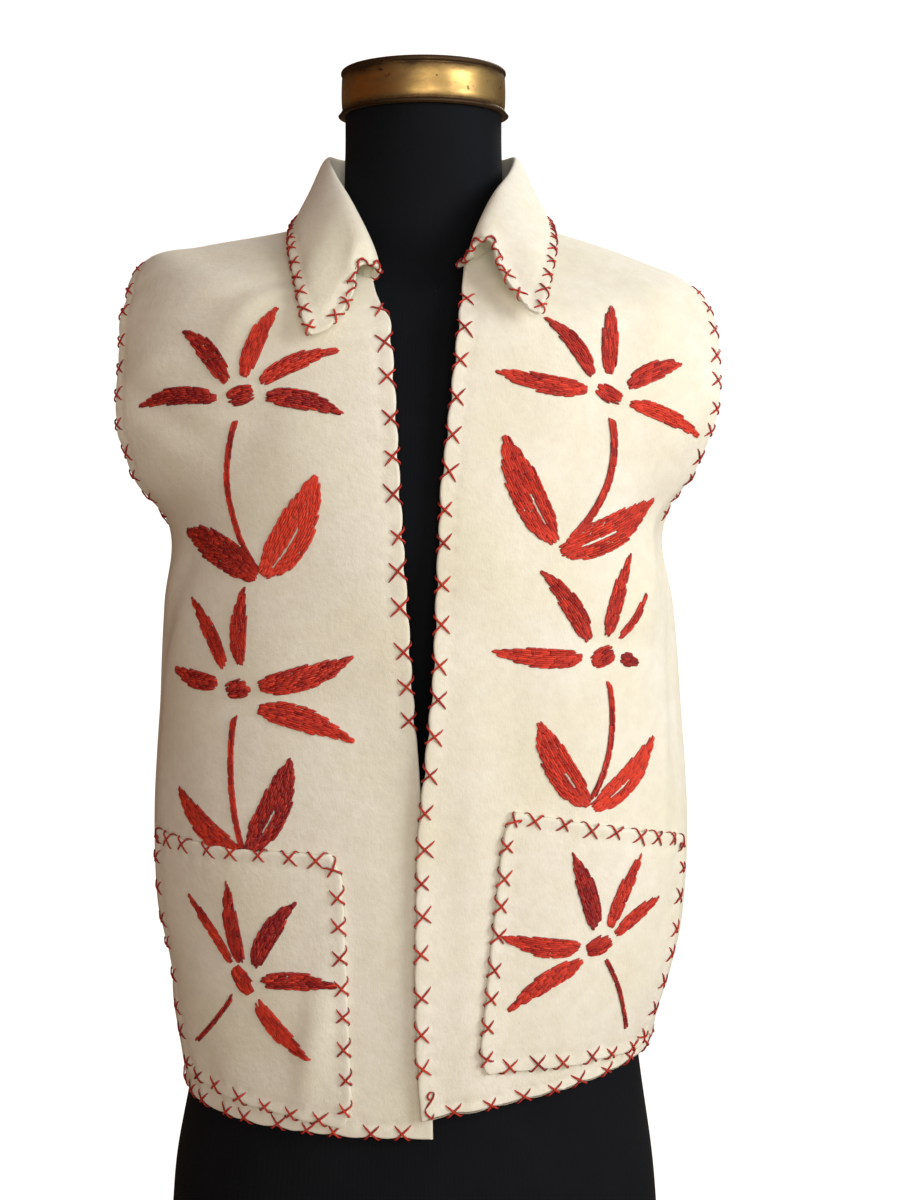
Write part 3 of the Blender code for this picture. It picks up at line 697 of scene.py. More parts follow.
def find(face, x, z, start):
    """The parameters where a face has this x and z, by Newton's method from a start."""
    p, q = start
    for _ in range(30):
        point, slope_p, slope_q, _ = slopes_at(face, p, q)
        off_x, off_z = x - point[..., 0], z - point[..., 2]
        base = slope_p[..., 0] * slope_q[..., 2] - slope_q[..., 0] * slope_p[..., 2]
        p = p + (off_x * slope_q[..., 2] - off_z * slope_q[..., 0]) / base
        q = q + (off_z * slope_p[..., 0] - off_x * slope_p[..., 2]) / base
    return p, q


PETAL_ROW = 1.38 * MM  # between rows of stitches
STITCH_LONG = 5.8 * MM  # from one stitch's start to the next one's
STITCH_LAP = 1.34  # a stitch's own length, in such steps
TONE_SPREAD = 0.22  # how much the tones of a part's stitches differ
# Half widths along a part, as shares of its widest, from its start to its end
PROFILES = {
    "petal": lambda f: (1 - f) ** 0.90 * f**0.55 * 2.40,
    "leaf": lambda f: (1 - f) ** 0.85 * f**0.62 * 2.72,
    "blade": lambda f: (1 - f) ** 0.85 * f**0.62 * 2.72,
    "heart": lambda f: 2 * np.sqrt(f * (1 - f)),
    "stem": lambda f: 0.72 + 0.28 * f,
}
SLITS = {"leaf": (0.14, 0.52, 0.096)}  # a bare sliver: its start, end and share of the width


def uneven_rows(rows, count, rng):
    """Where the stitches of each row start and end along a part, from 0 to 1: even steps, each
    row's shifted by up to a step and each stitch by a little more, and longer than a step."""
    first = rng.uniform(0, 1, rows)[:, None]
    shift = rng.uniform(-0.16, 0.16, (rows, count + 2))
    cell = np.arange(-1, count + 1)[None, :] + first + shift
    return cell / count, (cell + STITCH_LAP) / count


def inside_part(kind, across, middle, half):
    """Which stitches lie inside a part's outline and beside its bare sliver. The sliver's half
    width is a half wave of the place along it."""
    reach = half * PROFILES[kind](middle) + 0.25 * PETAL_ROW
    inside = (np.abs(across) <= reach) & (middle > 0.005) & (middle < 0.995)
    if kind in SLITS:
        near, far, share = SLITS[kind]
        along = np.clip((middle - near) / (far - near), 0, 1)
        inside &= np.abs(across + 0.1 * half) > share * half * np.sin(np.pi * along)
    return inside


def part_stitches(kind, start, end, bow, width, tone, rng):
    """Split stitches that fill one part of a flower: rows side by side along its bowed middle
    line, drawn together towards its ends, each cut into stitches that start unevenly. Gives
    the ends of each stitch, its tone and its thickness, in metres right and up."""
    profile = PROFILES[kind]
    start, end = np.array(start, float) * MM, np.array(end, float) * MM
    span = end - start
    length = np.linalg.norm(span)
    aside = np.array([-span[1], span[0]]) / length
    half = width * MM / 2
    rows = max(int(round(width * MM / PETAL_ROW)), 2)
    row = (np.arange(rows) + 0.5) / rows * 2 - 1
    low, high = uneven_rows(rows, max(int(round(length / STITCH_LONG)), 2), rng)
    middle = np.clip((low + high) / 2, 0.004, 0.996)
    power = np.interp(middle, (0.25, 0.60), (0.50, 0.22)) * (kind != "stem")
    gather = profile(np.clip(middle, 0.06, 0.94)) ** power
    across = row[:, None] * half * gather
    inside = inside_part(kind, across, middle, half)
    low, high, across = np.clip(low, 0, 1)[inside], np.clip(high, 0, 1)[inside], across[inside]
    slant = rng.normal(0, 0.10, across.shape) * MM + 0.16 * MM
    ends = []
    for place, side in ((low, -1), (high, 1)):
        narrow = profile(np.clip(place, 0.03, 0.97)) / profile(
            np.clip((low + high) / 2, 0.03, 0.97))
        away = across * np.clip(narrow, 0.25, 1.3) ** 0.45 + side * slant
        away = away + (side > 0) * 0.10 * across * np.abs(across) / half
        lean = 4 * bow * MM * place * (1 - place)
        ends.append(start + span * place[:, None] + aside * (away + lean)[:, None])
    shade = np.clip(tone + rng.normal(0, TONE_SPREAD, across.shape), 0, 1)
    thick = rng.uniform(0.86, 1.10, across.shape)
    return np.stack(ends, axis=1), shade, thick


def flower_strands(face, heart, parts, rng):
    """Every stitch of a flower as a path on its face: it comes up out of the cloth, lies on it
    with a low crown, and goes in again."""
    made = [part_stitches(*part, rng) for part in parts]
    ends = np.concatenate([ends for ends, _, _ in made])
    tone = np.concatenate([shade for _, shade, _ in made])
    thick = np.concatenate([thick for _, _, thick in made])
    step = np.linspace(0, 1, 6)[None, :, None]
    flat = ends[:, :1] + (ends[:, 1:] - ends[:, :1]) * step
    p, q = spread(face, heart, flat[..., 0], flat[..., 1])
    point, _, _, up = slopes_at(face, p, q)
    crown = np.sin(np.pi * step) ** 0.5
    layer = rng.uniform(0, 0.16, (len(tone), 1, 1))
    lift = FLOSS * ((0.46 + layer) * crown - 0.16)
    return point + lift * up, up, tone, thick


# Meshes


def mesh_object(name, points, faces, material, uv=None, tone=None):
    """A mesh from arrays: points, faces, a UV pair for each face corner, and a tone a point."""
    mesh = bpy.data.meshes.new(name)
    mesh.from_pydata(points.reshape(-1, 3).tolist(), [], faces)
    if uv is not None:
        mesh.uv_layers.new(name="cloth").data.foreach_set("uv", uv.astype(np.float32).ravel())
    if tone is not None:
        layer = mesh.attributes.new("tone", "FLOAT", "POINT")
        layer.data.foreach_set("value", tone.astype(np.float32).ravel())
    mesh.materials.append(material)
    mesh.shade_smooth()
    piece = bpy.data.objects.new(name, mesh)
    bpy.context.scene.collection.objects.link(piece)
    return piece


def cell_faces(index):
    """Four-sided faces between neighbours of an index grid."""
    corners = [index[:-1, :-1], index[:-1, 1:], index[1:, 1:], index[1:, :-1]]
    return np.stack(corners, axis=-1).reshape(-1, 4)


def drawn_in(grid, normal, holes, pulls):
    """Cloth moved by its stitches: pressed in round each hole and pulled back from the edge at
    each thread, by a depth times a bell shape of the distance from it."""

    def bell(spot, wide):
        return np.exp(-((grid - spot) ** 2).sum(axis=-1, keepdims=True) / wide**2)

    for spot in holes:
        grid = grid - HOLE_DEEP * bell(spot, HOLE_WIDE) * normal
    for pull in pulls:
        grid = grid + PULL_IN * bell(pull[:3], PULL_WIDE) * pull[3:]
    return grid


def cloth_shell(name, material, face, places, holes, pulls):
    """Felt made from a face's grid of points: the outer side, drawn in where threads pull, a
    rounded rim, and the inner side a wall behind. Around its edge, a ring of points turns half
    round from the outward normal to the inward one."""
    grid, _, _, normal = slopes_at(face, *places)
    grid = drawn_in(grid, normal, holes, pulls)
    rows, columns = grid.shape[:2]
    index = np.arange(rows * columns).reshape(rows, columns)
    loop = np.concatenate([index[0, :-1], index[:-1, -1], index[-1, :0:-1], index[:0:-1, 0]])
    flat = grid.reshape(-1, 3)
    flat_normal = normal.reshape(-1, 3)
    up, across = np.zeros_like(grid), np.zeros_like(grid)
    up[0], up[-1] = unit(grid[0] - grid[1]), unit(grid[-1] - grid[-2])
    across[:, 0], across[:, -1] = unit(grid[:, 0] - grid[:, 1]), unit(grid[:, -1] - grid[:, -2])
    outwards = (up + across).reshape(-1, 3)[loop]
    rim_normal = flat_normal[loop]
    outwards = unit(outwards - dot(outwards, rim_normal) * rim_normal)
    radius = WALL / 2
    centre = flat[loop] - radius * (rim_normal + outwards)
    turn = np.linspace(0, np.pi, RIM_STEPS + 2)[:, None, None]
    rim = centre + radius * (np.cos(turn) * rim_normal + np.sin(turn) * outwards)
    outer, inner = flat.copy(), flat - WALL * flat_normal
    outer[loop], inner[loop] = rim[0], rim[-1]
    count = rows * columns
    ring = 2 * count + np.arange(RIM_STEPS * len(loop)).reshape(RIM_STEPS, -1)
    ring = np.vstack([loop, ring, loop + count])
    ring = np.hstack([ring, ring[:, :1]])
    faces = np.vstack([cell_faces(index), cell_faces(index + count)[:, ::-1],
                       cell_faces(ring)[:, ::-1]])
    points = np.vstack([outer, inner, rim[1:-1].reshape(-1, 3)])
    return mesh_object(name, points, faces.tolist(), material)


def strand_tubes(name, material, paths, ups, width, tone, thick=None, sides=6):
    """Threads as closed tubes: round each path a ring of points, a little flatter than wide,
    that narrows at both ends. UV runs round the thread and along it, in millimetres."""
    count, steps = paths.shape[:2]
    thick = np.ones(count) if thick is None else thick
    ahead = unit(np.gradient(paths, axis=1))
    aside = unit(np.cross(ahead, ups))
    up = np.cross(aside, ahead)
    place = np.linspace(0, 1, steps)
    narrow = np.minimum(1, 0.35 + 3.2 * np.minimum(place, 1 - place))[None, :, None]
    radius = (width / 2 * thick[:, None, None] * narrow)[..., None]
    angle = np.linspace(0, 2 * np.pi, sides, endpoint=False)[None, None, :, None]
    points = paths[:, :, None] + radius * (
        np.cos(angle) * aside[:, :, None] * 1.06 + np.sin(angle) * up[:, :, None] * 0.84
    )
    index = np.arange(count * steps * sides).reshape(count, steps, sides)
    beside = np.roll(index, -1, axis=2)
    quads = np.stack([index[:, :-1], beside[:, :-1], beside[:, 1:], index[:, 1:]], axis=-1)
    quads = quads.reshape(-1, 4)
    caps = np.concatenate([index[:, 0, ::-1], index[:, -1]])
    uv = np.concatenate([thread_uv(paths, sides), np.zeros((caps.size, 2))])
    tones = np.repeat(tone, steps * sides)
    return mesh_object(name, points, quads.tolist() + caps.tolist(), material, uv, tones)


def thread_uv(paths, sides):
    """UV pairs for the corners of the threads' four-sided faces: once round is 1 in U, and V is
    the length along the thread in millimetres."""
    length = np.linalg.norm(np.diff(paths, axis=1), axis=-1).cumsum(axis=1)
    length = np.concatenate([np.zeros((len(paths), 1)), length], axis=1) / MM
    v_low = np.repeat(length[:, :-1, None], sides, axis=2)
    v_high = np.repeat(length[:, 1:, None], sides, axis=2)
    u_low = np.broadcast_to(np.arange(sides) / sides, v_low.shape)
    u_high = u_low + 1 / sides
    return np.stack([
        np.stack([u_low, v_low], -1), np.stack([u_high, v_low], -1),
        np.stack([u_high, v_high], -1), np.stack([u_low, v_high], -1),
    ], axis=-2).reshape(-1, 2)


def closed_rings(name, material, rings, poles):
    """A closed skin over closed rings of points, one above another, with a fan of triangles to
    a pole under the first ring and another to a pole over the last."""
    count = rings.shape[1]
    index = np.arange(rings.shape[0] * count).reshape(-1, count)
    index = np.hstack([index, index[:, :1]])
    low, high = np.full(count, index.max() + 1), np.full(count, index.max() + 2)
    under = np.stack([low, index[0, 1:], index[0, :-1]], axis=-1)
    over = np.stack([high, index[-1, :-1], index[-1, 1:]], axis=-1)
    faces = cell_faces(index).tolist() + under.tolist() + over.tolist()
    return mesh_object(name, np.vstack([rings.reshape(-1, 3), poles]), faces, material)


# Materials


def colour(code):
    """An sRGB hex colour as linear RGBA: the lowest part over 12.92, the rest to the power 2.4."""
    srgb = np.array([int(code[i:i + 2], 16) for i in (1, 3, 5)]) / 255
    linear = np.where(srgb <= 0.04045, srgb / 12.92, ((srgb + 0.055) / 1.055) ** 2.4)
    return (*linear.tolist(), 1.0)


def add(tree, kind, inputs=None, **settings):
    """Adds a node: settings are its properties, and inputs are values or other nodes' outputs."""
    made = tree.nodes.new(kind)
    for name, value in settings.items():
        setattr(made, name, value)
    for socket, value in (inputs or {}).items():
        if isinstance(value, bpy.types.NodeSocket):
            tree.links.new(value, made.inputs[socket])
        else:
            made.inputs[socket].default_value = value
    return made


def new_material(name):
    """A new material, its node tree and its shader."""
    material = bpy.data.materials.new(name)
    material.use_nodes = True
    tree = material.node_tree
    return material, tree, tree.nodes["Principled BSDF"]


def per_mm(size):
    """A texture scale for a feature of this size in mm, on coordinates in metres."""
    return 1000 / size


# The wool's own cream, where it is warmer and where it is duller, and its fibre ends
WOOL_LIGHT = "#F4F1E4"
WOOL_WARM = "#EFEBD3"
WOOL_DULL = "#E1DBC5"
WOOL_PALE = "#FAF8EF"


def felted_wool():
    """Fulled wool cloth, milled and brushed: it is matt, with a short fibre nap that catches
    light at the edges, and slightly uneven in colour."""
    material, tree, shader = new_material("cream_felted_wool")
    spot = add(tree, "ShaderNodeTexCoord").outputs["Object"]
    cloud = add(tree, "ShaderNodeTexNoise", {
        "Vector": spot, "Scale": per_mm(70), "Detail": 3.0, "Roughness": 0.55}).outputs["Fac"]
    mottle = add(tree, "ShaderNodeTexNoise", {
        "Vector": spot, "Scale": per_mm(9), "Detail": 4.0, "Roughness": 0.6}).outputs["Fac"]
    nap_way = add(tree, "ShaderNodeMapping", {
        "Vector": spot, "Rotation": (0.0, 0.35, 0.0), "Scale": (1.0, 1.0, 0.35)}).outputs["Vector"]
    nap = add(tree, "ShaderNodeTexNoise", {
        "Vector": nap_way, "Scale": per_mm(1.1), "Detail": 3.0, "Roughness": 0.7,
        "Distortion": 0.6}).outputs["Fac"]
    pile = add(tree, "ShaderNodeTexNoise", {
        "Vector": spot, "Scale": per_mm(3.4), "Detail": 2.0, "Roughness": 0.5}).outputs["Fac"]
    warm = add(tree, "ShaderNodeMapRange", {
        "Value": cloud, "From Min": 0.40, "From Max": 0.68}).outputs["Result"]
    base = add(tree, "ShaderNodeMixRGB", {
        "Fac": warm, "Color1": colour(WOOL_LIGHT), "Color2": colour(WOOL_WARM)}).outputs["Color"]
    fleck = add(tree, "ShaderNodeMapRange", {
        "Value": mottle, "From Min": 0.35, "From Max": 0.75, "To Max": 0.55}).outputs["Result"]
    base = add(tree, "ShaderNodeMixRGB", {
        "Fac": fleck, "Color1": base, "Color2": colour(WOOL_DULL)}).outputs["Color"]
    fibre = add(tree, "ShaderNodeMapRange", {
        "Value": nap, "From Min": 0.30, "From Max": 0.70, "To Max": 0.30}).outputs["Result"]
    base = add(tree, "ShaderNodeMixRGB", {
        "Fac": fibre, "Color1": base, "Color2": colour(WOOL_PALE)}).outputs["Color"]
    tree.links.new(base, shader.inputs["Base Color"])
    soft = add(tree, "ShaderNodeBump", {"Height": pile, "Strength": 0.35, "Distance": 0.8 * MM})
    fine = add(tree, "ShaderNodeBump", {
        "Height": nap, "Strength": 0.60, "Distance": 0.32 * MM, "Normal": soft.outputs["Normal"]})
    tree.links.new(fine.outputs["Normal"], shader.inputs["Normal"])
    shader.inputs["Roughness"].default_value = 0.96
    shader.inputs["Specular IOR Level"].default_value = 0.18
    shader.inputs["Sheen Weight"].default_value = 0.22
    shader.inputs["Sheen Roughness"].default_value = 0.55
    shader.inputs["Sheen Tint"].default_value = colour(WOOL_LIGHT)
    return material


def stranded_cotton():
    """Mercerised stranded cotton, twisted and dyed red: silky, with fine strands that lie along
    it, raised by bump. Its red carries painted light: a painted highlight on the top of each
    thread and on its strands, and painted shade on its sides, underside and in the furrows
    between strands. Each thread carries a tone, its own on the edge stitches; on the flowers a
    part's tone is partly dye and partly painted sheen and shade."""
    material, tree, shader = new_material("red_stranded_cotton")
    tone = add(tree, "ShaderNodeAttribute", attribute_name="tone").outputs["Fac"]
    spot = add(tree, "ShaderNodeTexCoord").outputs["UV"]
    strand_way = add(tree, "ShaderNodeMapping", {
        "Vector": spot, "Rotation": (0.0, 0.0, 0.5)}).outputs["Vector"]
    strand = add(tree, "ShaderNodeTexWave", {
        "Vector": strand_way, "Scale": 1.1, "Distortion": 1.2, "Detail": 1.0}).outputs["Fac"]
    # Painted shade and painted highlight: dark is the red for the thread's shaded sides, underside
    # and furrows, bright the red for its lit top and strands; the tone picks within each.
    dark = add(tree, "ShaderNodeMixRGB", {
        "Fac": tone, "Color1": colour("#3A040B"), "Color2": colour("#96110C")}).outputs["Color"]
    bright = add(tree, "ShaderNodeMixRGB", {
        "Fac": tone, "Color1": colour("#9A141A"), "Color2": colour("#FF4C32")}).outputs["Color"]
    # A painted highlight on the thread's upward side and painted shade on its underside, from the
    # sine of the way round it (crown), plus the strand stripes, choose between dark and bright.
    around = add(tree, "ShaderNodeSeparateXYZ", {"Vector": spot}).outputs["X"]
    turn = add(tree, "ShaderNodeMath", {0: around, 1: 2 * np.pi}, operation="MULTIPLY")
    upward = add(tree, "ShaderNodeMath", {0: turn.outputs["Value"]}, operation="SINE")
    crown = add(tree, "ShaderNodeMapRange", {
        "Value": upward.outputs["Value"], "From Min": 0.15, "From Max": 0.95,
        "To Max": 0.78}).outputs["Result"]
    share = add(tree, "ShaderNodeMath", {
        0: strand, 1: 0.25, 2: crown}, operation="MULTIPLY_ADD").outputs["Value"]
    base = add(tree, "ShaderNodeMixRGB", {
        "Fac": share, "Color1": dark, "Color2": bright}).outputs["Color"]
    tree.links.new(base, shader.inputs["Base Color"])
    bump = add(tree, "ShaderNodeBump", {"Height": strand, "Strength": 0.7, "Distance": 0.22 * MM})
    tree.links.new(bump.outputs["Normal"], shader.inputs["Normal"])
    shader.inputs["Roughness"].default_value = 0.33
    shader.inputs["Specular IOR Level"].default_value = 0.42
    return material


def black_jersey():
    """Fine black jersey, knitted and stretched over the form: nearly matt, with close upright
    wales. They are drawn 1.8 mm apart, coarser than real ones, so that they show."""
    material, tree, shader = new_material("black_stretched_jersey")
    spot = add(tree, "ShaderNodeTexCoord").outputs["Object"]
    split = add(tree, "ShaderNodeSeparateXYZ", {"Vector": spot}).outputs
    angle = add(tree, "ShaderNodeMath", {0: split["X"], 1: split["Y"]}, operation="ARCTAN2")
    wale = add(tree, "ShaderNodeMath", {0: angle.outputs["Value"], 1: 240.0}, operation="MULTIPLY")
    rib = add(tree, "ShaderNodeMath", {0: wale.outputs["Value"]}, operation="SINE")
    course = add(tree, "ShaderNodeTexNoise", {
        "Vector": spot, "Scale": per_mm(2.4), "Detail": 3.0}).outputs["Fac"]
    lint = add(tree, "ShaderNodeTexNoise", {
        "Vector": spot, "Scale": per_mm(45), "Detail": 4.0}).outputs["Fac"]
    base = add(tree, "ShaderNodeMixRGB", {
        "Fac": lint, "Color1": colour("#0B0D11"), "Color2": colour("#14171C")}).outputs["Color"]
    tree.links.new(base, shader.inputs["Base Color"])
    knit = add(tree, "ShaderNodeBump", {
        "Height": rib.outputs["Value"], "Strength": 0.35, "Distance": 0.10 * MM})
    loops = add(tree, "ShaderNodeBump", {
        "Height": course, "Strength": 0.5, "Distance": 0.2 * MM, "Normal": knit.outputs["Normal"]})
    tree.links.new(loops.outputs["Normal"], shader.inputs["Normal"])
    shader.inputs["Roughness"].default_value = 0.85
    shader.inputs["Specular IOR Level"].default_value = 0.12
    shader.inputs["Sheen Weight"].default_value = 0.03
    shader.inputs["Sheen Roughness"].default_value = 0.5
    shader.inputs["Sheen Tint"].default_value = colour("#5A6474")
    return material


def aged_brass():
    """Spun sheet brass, lacquered once and aged: satin, golden where it is rubbed, brown in
    the grooves and along the lips, with soft blotches and small dark spots."""
    material, tree, shader = new_material("aged_spun_brass")
    spot = add(tree, "ShaderNodeTexCoord").outputs["Object"]
    height = add(tree, "ShaderNodeSeparateXYZ", {"Vector": spot}).outputs["Z"]
    low = add(tree, "ShaderNodeMapRange", {
        "Value": height, "From Min": CAP_FOOT + 2 * MM, "From Max": CAP_FOOT + 8 * MM,
        "To Min": 1.0, "To Max": 0.0}).outputs["Result"]
    high = add(tree, "ShaderNodeMapRange", {
        "Value": height, "From Min": CAP_FOOT + 20 * MM,
        "From Max": CAP_FOOT + 28 * MM}).outputs["Result"]
    rims = add(tree, "ShaderNodeMath", {0: low, 1: high}, operation="MAXIMUM").outputs["Value"]
    blotch_way = add(tree, "ShaderNodeMapping", {
        "Vector": spot, "Scale": (1.0, 1.0, 2.2)}).outputs["Vector"]
    blotch = add(tree, "ShaderNodeTexNoise", {
        "Vector": blotch_way, "Scale": per_mm(30), "Detail": 6.0,
        "Roughness": 0.62}).outputs["Fac"]
    worn = add(tree, "ShaderNodeMath", {0: rims, 1: 0.55}, operation="MULTIPLY").outputs["Value"]
    stain = add(tree, "ShaderNodeMath", {0: worn, 1: blotch}, operation="ADD").outputs["Value"]
    patina = add(tree, "ShaderNodeMapRange", {
        "Value": stain, "From Min": 0.42, "From Max": 0.98}).outputs["Result"]
    metal = add(tree, "ShaderNodeMixRGB", {
        "Fac": patina, "Color1": colour("#B8975C"), "Color2": colour("#4E3C2A")}).outputs["Color"]
    speck = add(tree, "ShaderNodeTexNoise", {
        "Vector": spot, "Scale": per_mm(5.5), "Detail": 2.0}).outputs["Fac"]
    speck = add(tree, "ShaderNodeMapRange", {
        "Value": speck, "From Min": 0.66, "From Max": 0.72, "To Max": 0.8}).outputs["Result"]
    metal = add(tree, "ShaderNodeMixRGB", {
        "Fac": speck, "Color1": metal, "Color2": colour("#3A2A1C")}).outputs["Color"]
    tree.links.new(metal, shader.inputs["Base Color"])
    rough = add(tree, "ShaderNodeMapRange", {
        "Value": patina, "To Min": 0.34, "To Max": 0.62}).outputs["Result"]
    tree.links.new(rough, shader.inputs["Roughness"])
    turning = add(tree, "ShaderNodeMapping", {
        "Vector": spot, "Scale": (0.05, 0.05, 1.0)}).outputs["Vector"]
    brushed = add(tree, "ShaderNodeTexNoise", {
        "Vector": turning, "Scale": per_mm(0.9), "Detail": 3.0}).outputs["Fac"]
    lines = add(tree, "ShaderNodeBump", {
        "Height": brushed, "Strength": 0.12, "Distance": 0.1 * MM})
    pits = add(tree, "ShaderNodeBump", {
        "Height": blotch, "Strength": 0.25, "Distance": 0.6 * MM, "Normal": lines.outputs["Normal"]})
    tree.links.new(pits.outputs["Normal"], shader.inputs["Normal"])
    shader.inputs["Metallic"].default_value = 0.92
    return material


def white_board():
    """Matt painted board under and behind the object. It is seen as lit up from behind, as in a
    photograph on plain white, but throws only a dim brown light back on the object."""
    material, tree, shader = new_material("white_painted_board")
    shader.inputs["Base Color"].default_value = colour("#8F7A62")
    shader.inputs["Roughness"].default_value = 0.9
    shader.inputs["Emission Color"].default_value = colour("#FFFFFF")
    seen = add(tree, "ShaderNodeLightPath").outputs["Is Camera Ray"]
    tree.links.new(seen, shader.inputs["Emission Strength"])
    return material


# The object

wool = felted_wool()
thread = stranded_cotton()
random = np.random.default_rng(SEED)


def joined(groups):
    """Paths, upward ways, holes and pulls of several rows of stitches as one."""
    return [np.concatenate(part) for part in zip(*groups)]


def finish_piece(piece, slot, *replaced):
    """Puts a piece on the one body, and hides the CAD nodes it stands for. Its slot is not used."""
    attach(piece, "root")
    if replaced:
        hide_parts(*replaced)
    return piece


def sewn_cloth(name, node, face, places, rows):
    """A cloth piece with the stitches along its edges as a piece of their own."""
    paths, ups, holes, pulls = joined(rows)
    cloth = cloth_shell(name, wool, face, places, holes, pulls)
    finish_piece(cloth, "wool", node)
    tone = np.clip(random.normal(0.52, 0.14, len(paths)), 0.1, 1)
    sewing = strand_tubes(name + "_edge_stitches", thread, paths, ups, THREAD, tone)
    return cloth, finish_piece(sewing, "thread")


def crosses(kind, edge, start, end):
    """A row of crosses along an edge, between a start and an end distance from its two ends."""
    spacing, size = CROSS_ROWS[kind]
    places = stations(edge, start, end, spacing * MM, random)
    return cross_stitches(edge, places, random, CROSS_WIDE * size, CROSS_DEEP * size)


def arm_edge(face, middle, way, widest):
    """An armhole's edge, to one way round the body from the angle of the side's middle."""
    place = np.linspace(UNDERARM + ARM_SEWN_FROM, SHOULDER_TIP - ARM_SEWN_FROM, 300)
    return make_edge(face, middle + way * arm_opening(place, widest), place, -way)


def corner_knot(face):
    """The knotted loop, each length of it a smooth line laid on the cloth."""
    step = np.linspace(0, 1, THREAD_POINTS)
    flat = np.stack([through(part, step * (len(part) - 1)) for part in KNOT]) * MM
    x, z = flat[..., 0], flat[..., 1]
    p, q = find(face, x, z, (0 * x, 0 * x + 0.5))
    point, _, _, up = slopes_at(face, p, q)
    return point + 0.5 * THREAD * up, up, np.zeros((0, 3)), np.zeros((0, 6))


def front_rows(side):
    """Stitches of a front: up its open edge, along its hem and up its armhole, and the right
    one's knot."""
    face = panel_face("left" if side < 0 else "right")
    start = 0.0 if side > 0 else height_place(LEFT_SEWN_FROM)
    up = np.linspace(start, FRONT_SEWN_TO, 400)
    hem = np.linspace(edge_angle(0.0, side), side * (np.pi / 2 - seam_angle(0.0)), 160)
    hem = np.sort(hem)
    arm = arm_edge(face, side * np.pi / 2, -side, ARM_FRONT)
    knots = [corner_knot(face)] if side > 0 else []
    return face, knots + [
        crosses("front", make_edge(face, edge_angle(up, side), up, -side), 23 * MM, 4 * MM),
        crosses("hem", make_edge(face, hem, 0 * hem, 1), 12 * MM, 10 * MM),
        crosses("armhole", arm, 7 * MM, 6 * MM),
    ]


def back_rows():
    """Stitches of the back: along its hem, and up its right and left armholes."""
    face = panel_face("back")
    hem = np.linspace(np.pi / 2 + seam_angle(0.0), 3 * np.pi / 2 - seam_angle(0.0), 300)
    return face, [
        crosses("hem", make_edge(face, hem, 0 * hem, 1), 10 * MM, 10 * MM),
        crosses("armhole", arm_edge(face, np.pi / 2, 1, ARM_BACK), 7 * MM, 6 * MM),
        crosses("armhole", arm_edge(face, 3 * np.pi / 2, -1, ARM_BACK), 7 * MM, 6 * MM),
    ]


def pocket_rows(side):
    """Stitches round a pocket: foot, outer edge, top and inner edge in turn."""
    face = pocket_face("left" if side < 0 else "right")
    line = np.linspace(0, 1, 120, endpoint=False)
    across = np.concatenate([line, 0 * line + 1, 1 - line, 0 * line, [0.0]])
    up = np.concatenate([0 * line, line, 0 * line + 1, 1 - line, [0.0]])
    p, q = pocket_place(side, across, up)
    return face, [crosses("pocket", make_edge(face, p, q, side), 4 * MM, 4 * MM)]


def collar_rows(face, along, across):
    """Crosses round the free edge, and whip stitches and crosses down the two front ends."""
    line = np.linspace(0, along, 500)
    free = make_edge(face, line, across * collar_round(line, along), -1)
    down = np.linspace(0.6, across * collar_round(0.0, along), 120)
    left = make_edge(face, 0 * down, down, -1)
    right = make_edge(face, 0 * down + along, down, 1)
    rows = [crosses("collar", free, 9 * MM, 9 * MM)]
    for end in (left, right):
        whipped = WHIPPED * end["length"][-1]
        rows.append(whip_stitches(end, np.arange(5 * MM, whipped, WHIP_STEP), random))
        rows.append(crosses("collar_end", end, whipped, 6 * MM))
    return rows


def sewn_collar():
    """The collar: its whole face, up to the rounded line of its free edge."""
    face, last_along, last_across = collar_face()
    along = np.linspace(0, last_along, 180)[None, :]
    across = np.linspace(0, last_across, 60)[:, None] * collar_round(along, last_along)
    places = along + 0 * across, across
    rows = collar_rows(face, last_along, last_across)
    return sewn_cloth("wool_collar", "collar", face, places, rows)


def embroidered(name, panel, heart, parts):
    """A flower on its panel or pocket, laid out from where the cloth passes its heart. The
    search for that place starts 0.7 radians round to its side, below the armhole."""
    face = pocket_face(panel) if "pocket" in name else panel_face(panel)
    x, z = heart
    guess = np.array(np.copysign(0.7, x)), height_place(float(min(z, 480)))
    paths, ups, tone, thick = flower_strands(
        face, find(face, x * MM, z * MM, guess), parts, random)
    return finish_piece(strand_tubes(name, thread, paths, ups, FLOSS, tone, thick), "thread")


def ringed_form():
    """The form's skin: its rings, finely divided, with a flat base and a flat top."""
    place = np.linspace(0, len(FORM_RINGS) - 1, 240)[:, None]
    around = np.linspace(0, 2 * np.pi, 176, endpoint=False)[None, :]
    rings = ring_point(FORM_RINGS, around + 0 * place, place + 0 * around)
    poles = np.stack([rings[0].mean(axis=0), rings[-1].mean(axis=0)])
    form = closed_rings("jersey_form", black_jersey(), rings, poles)
    form.data.set_sharp_from_angle(angle=np.radians(50))
    return finish_piece(form, "jersey", "form_body")


def spun_cap():
    """The cap: a smooth line through its outline's points, carried once round its upright
    axis. Both ends of the line lie on the axis."""
    place = np.linspace(0, len(CAP_OUTLINE) - 1, (len(CAP_OUTLINE) - 1) * 4 + 1)
    radius, height = through(CAP_OUTLINE, place).T[:, :, None] * MM
    height = np.clip(height, 0, None) + CAP_FOOT
    angle = np.linspace(0, 2 * np.pi, 160, endpoint=False)
    x, y = NECK_MID_X + radius * np.sin(angle), -radius * np.cos(angle)
    rings = np.stack(np.broadcast_arrays(x, y, height), axis=-1)[1:-1]
    poles = np.array([[NECK_MID_X, 0, height[0, 0]], [NECK_MID_X, 0, height[-1, 0]]])
    cap = closed_rings("spun_brass_cap", aged_brass(), rings, poles)
    return finish_piece(cap, "brass", "form_neck_cap")


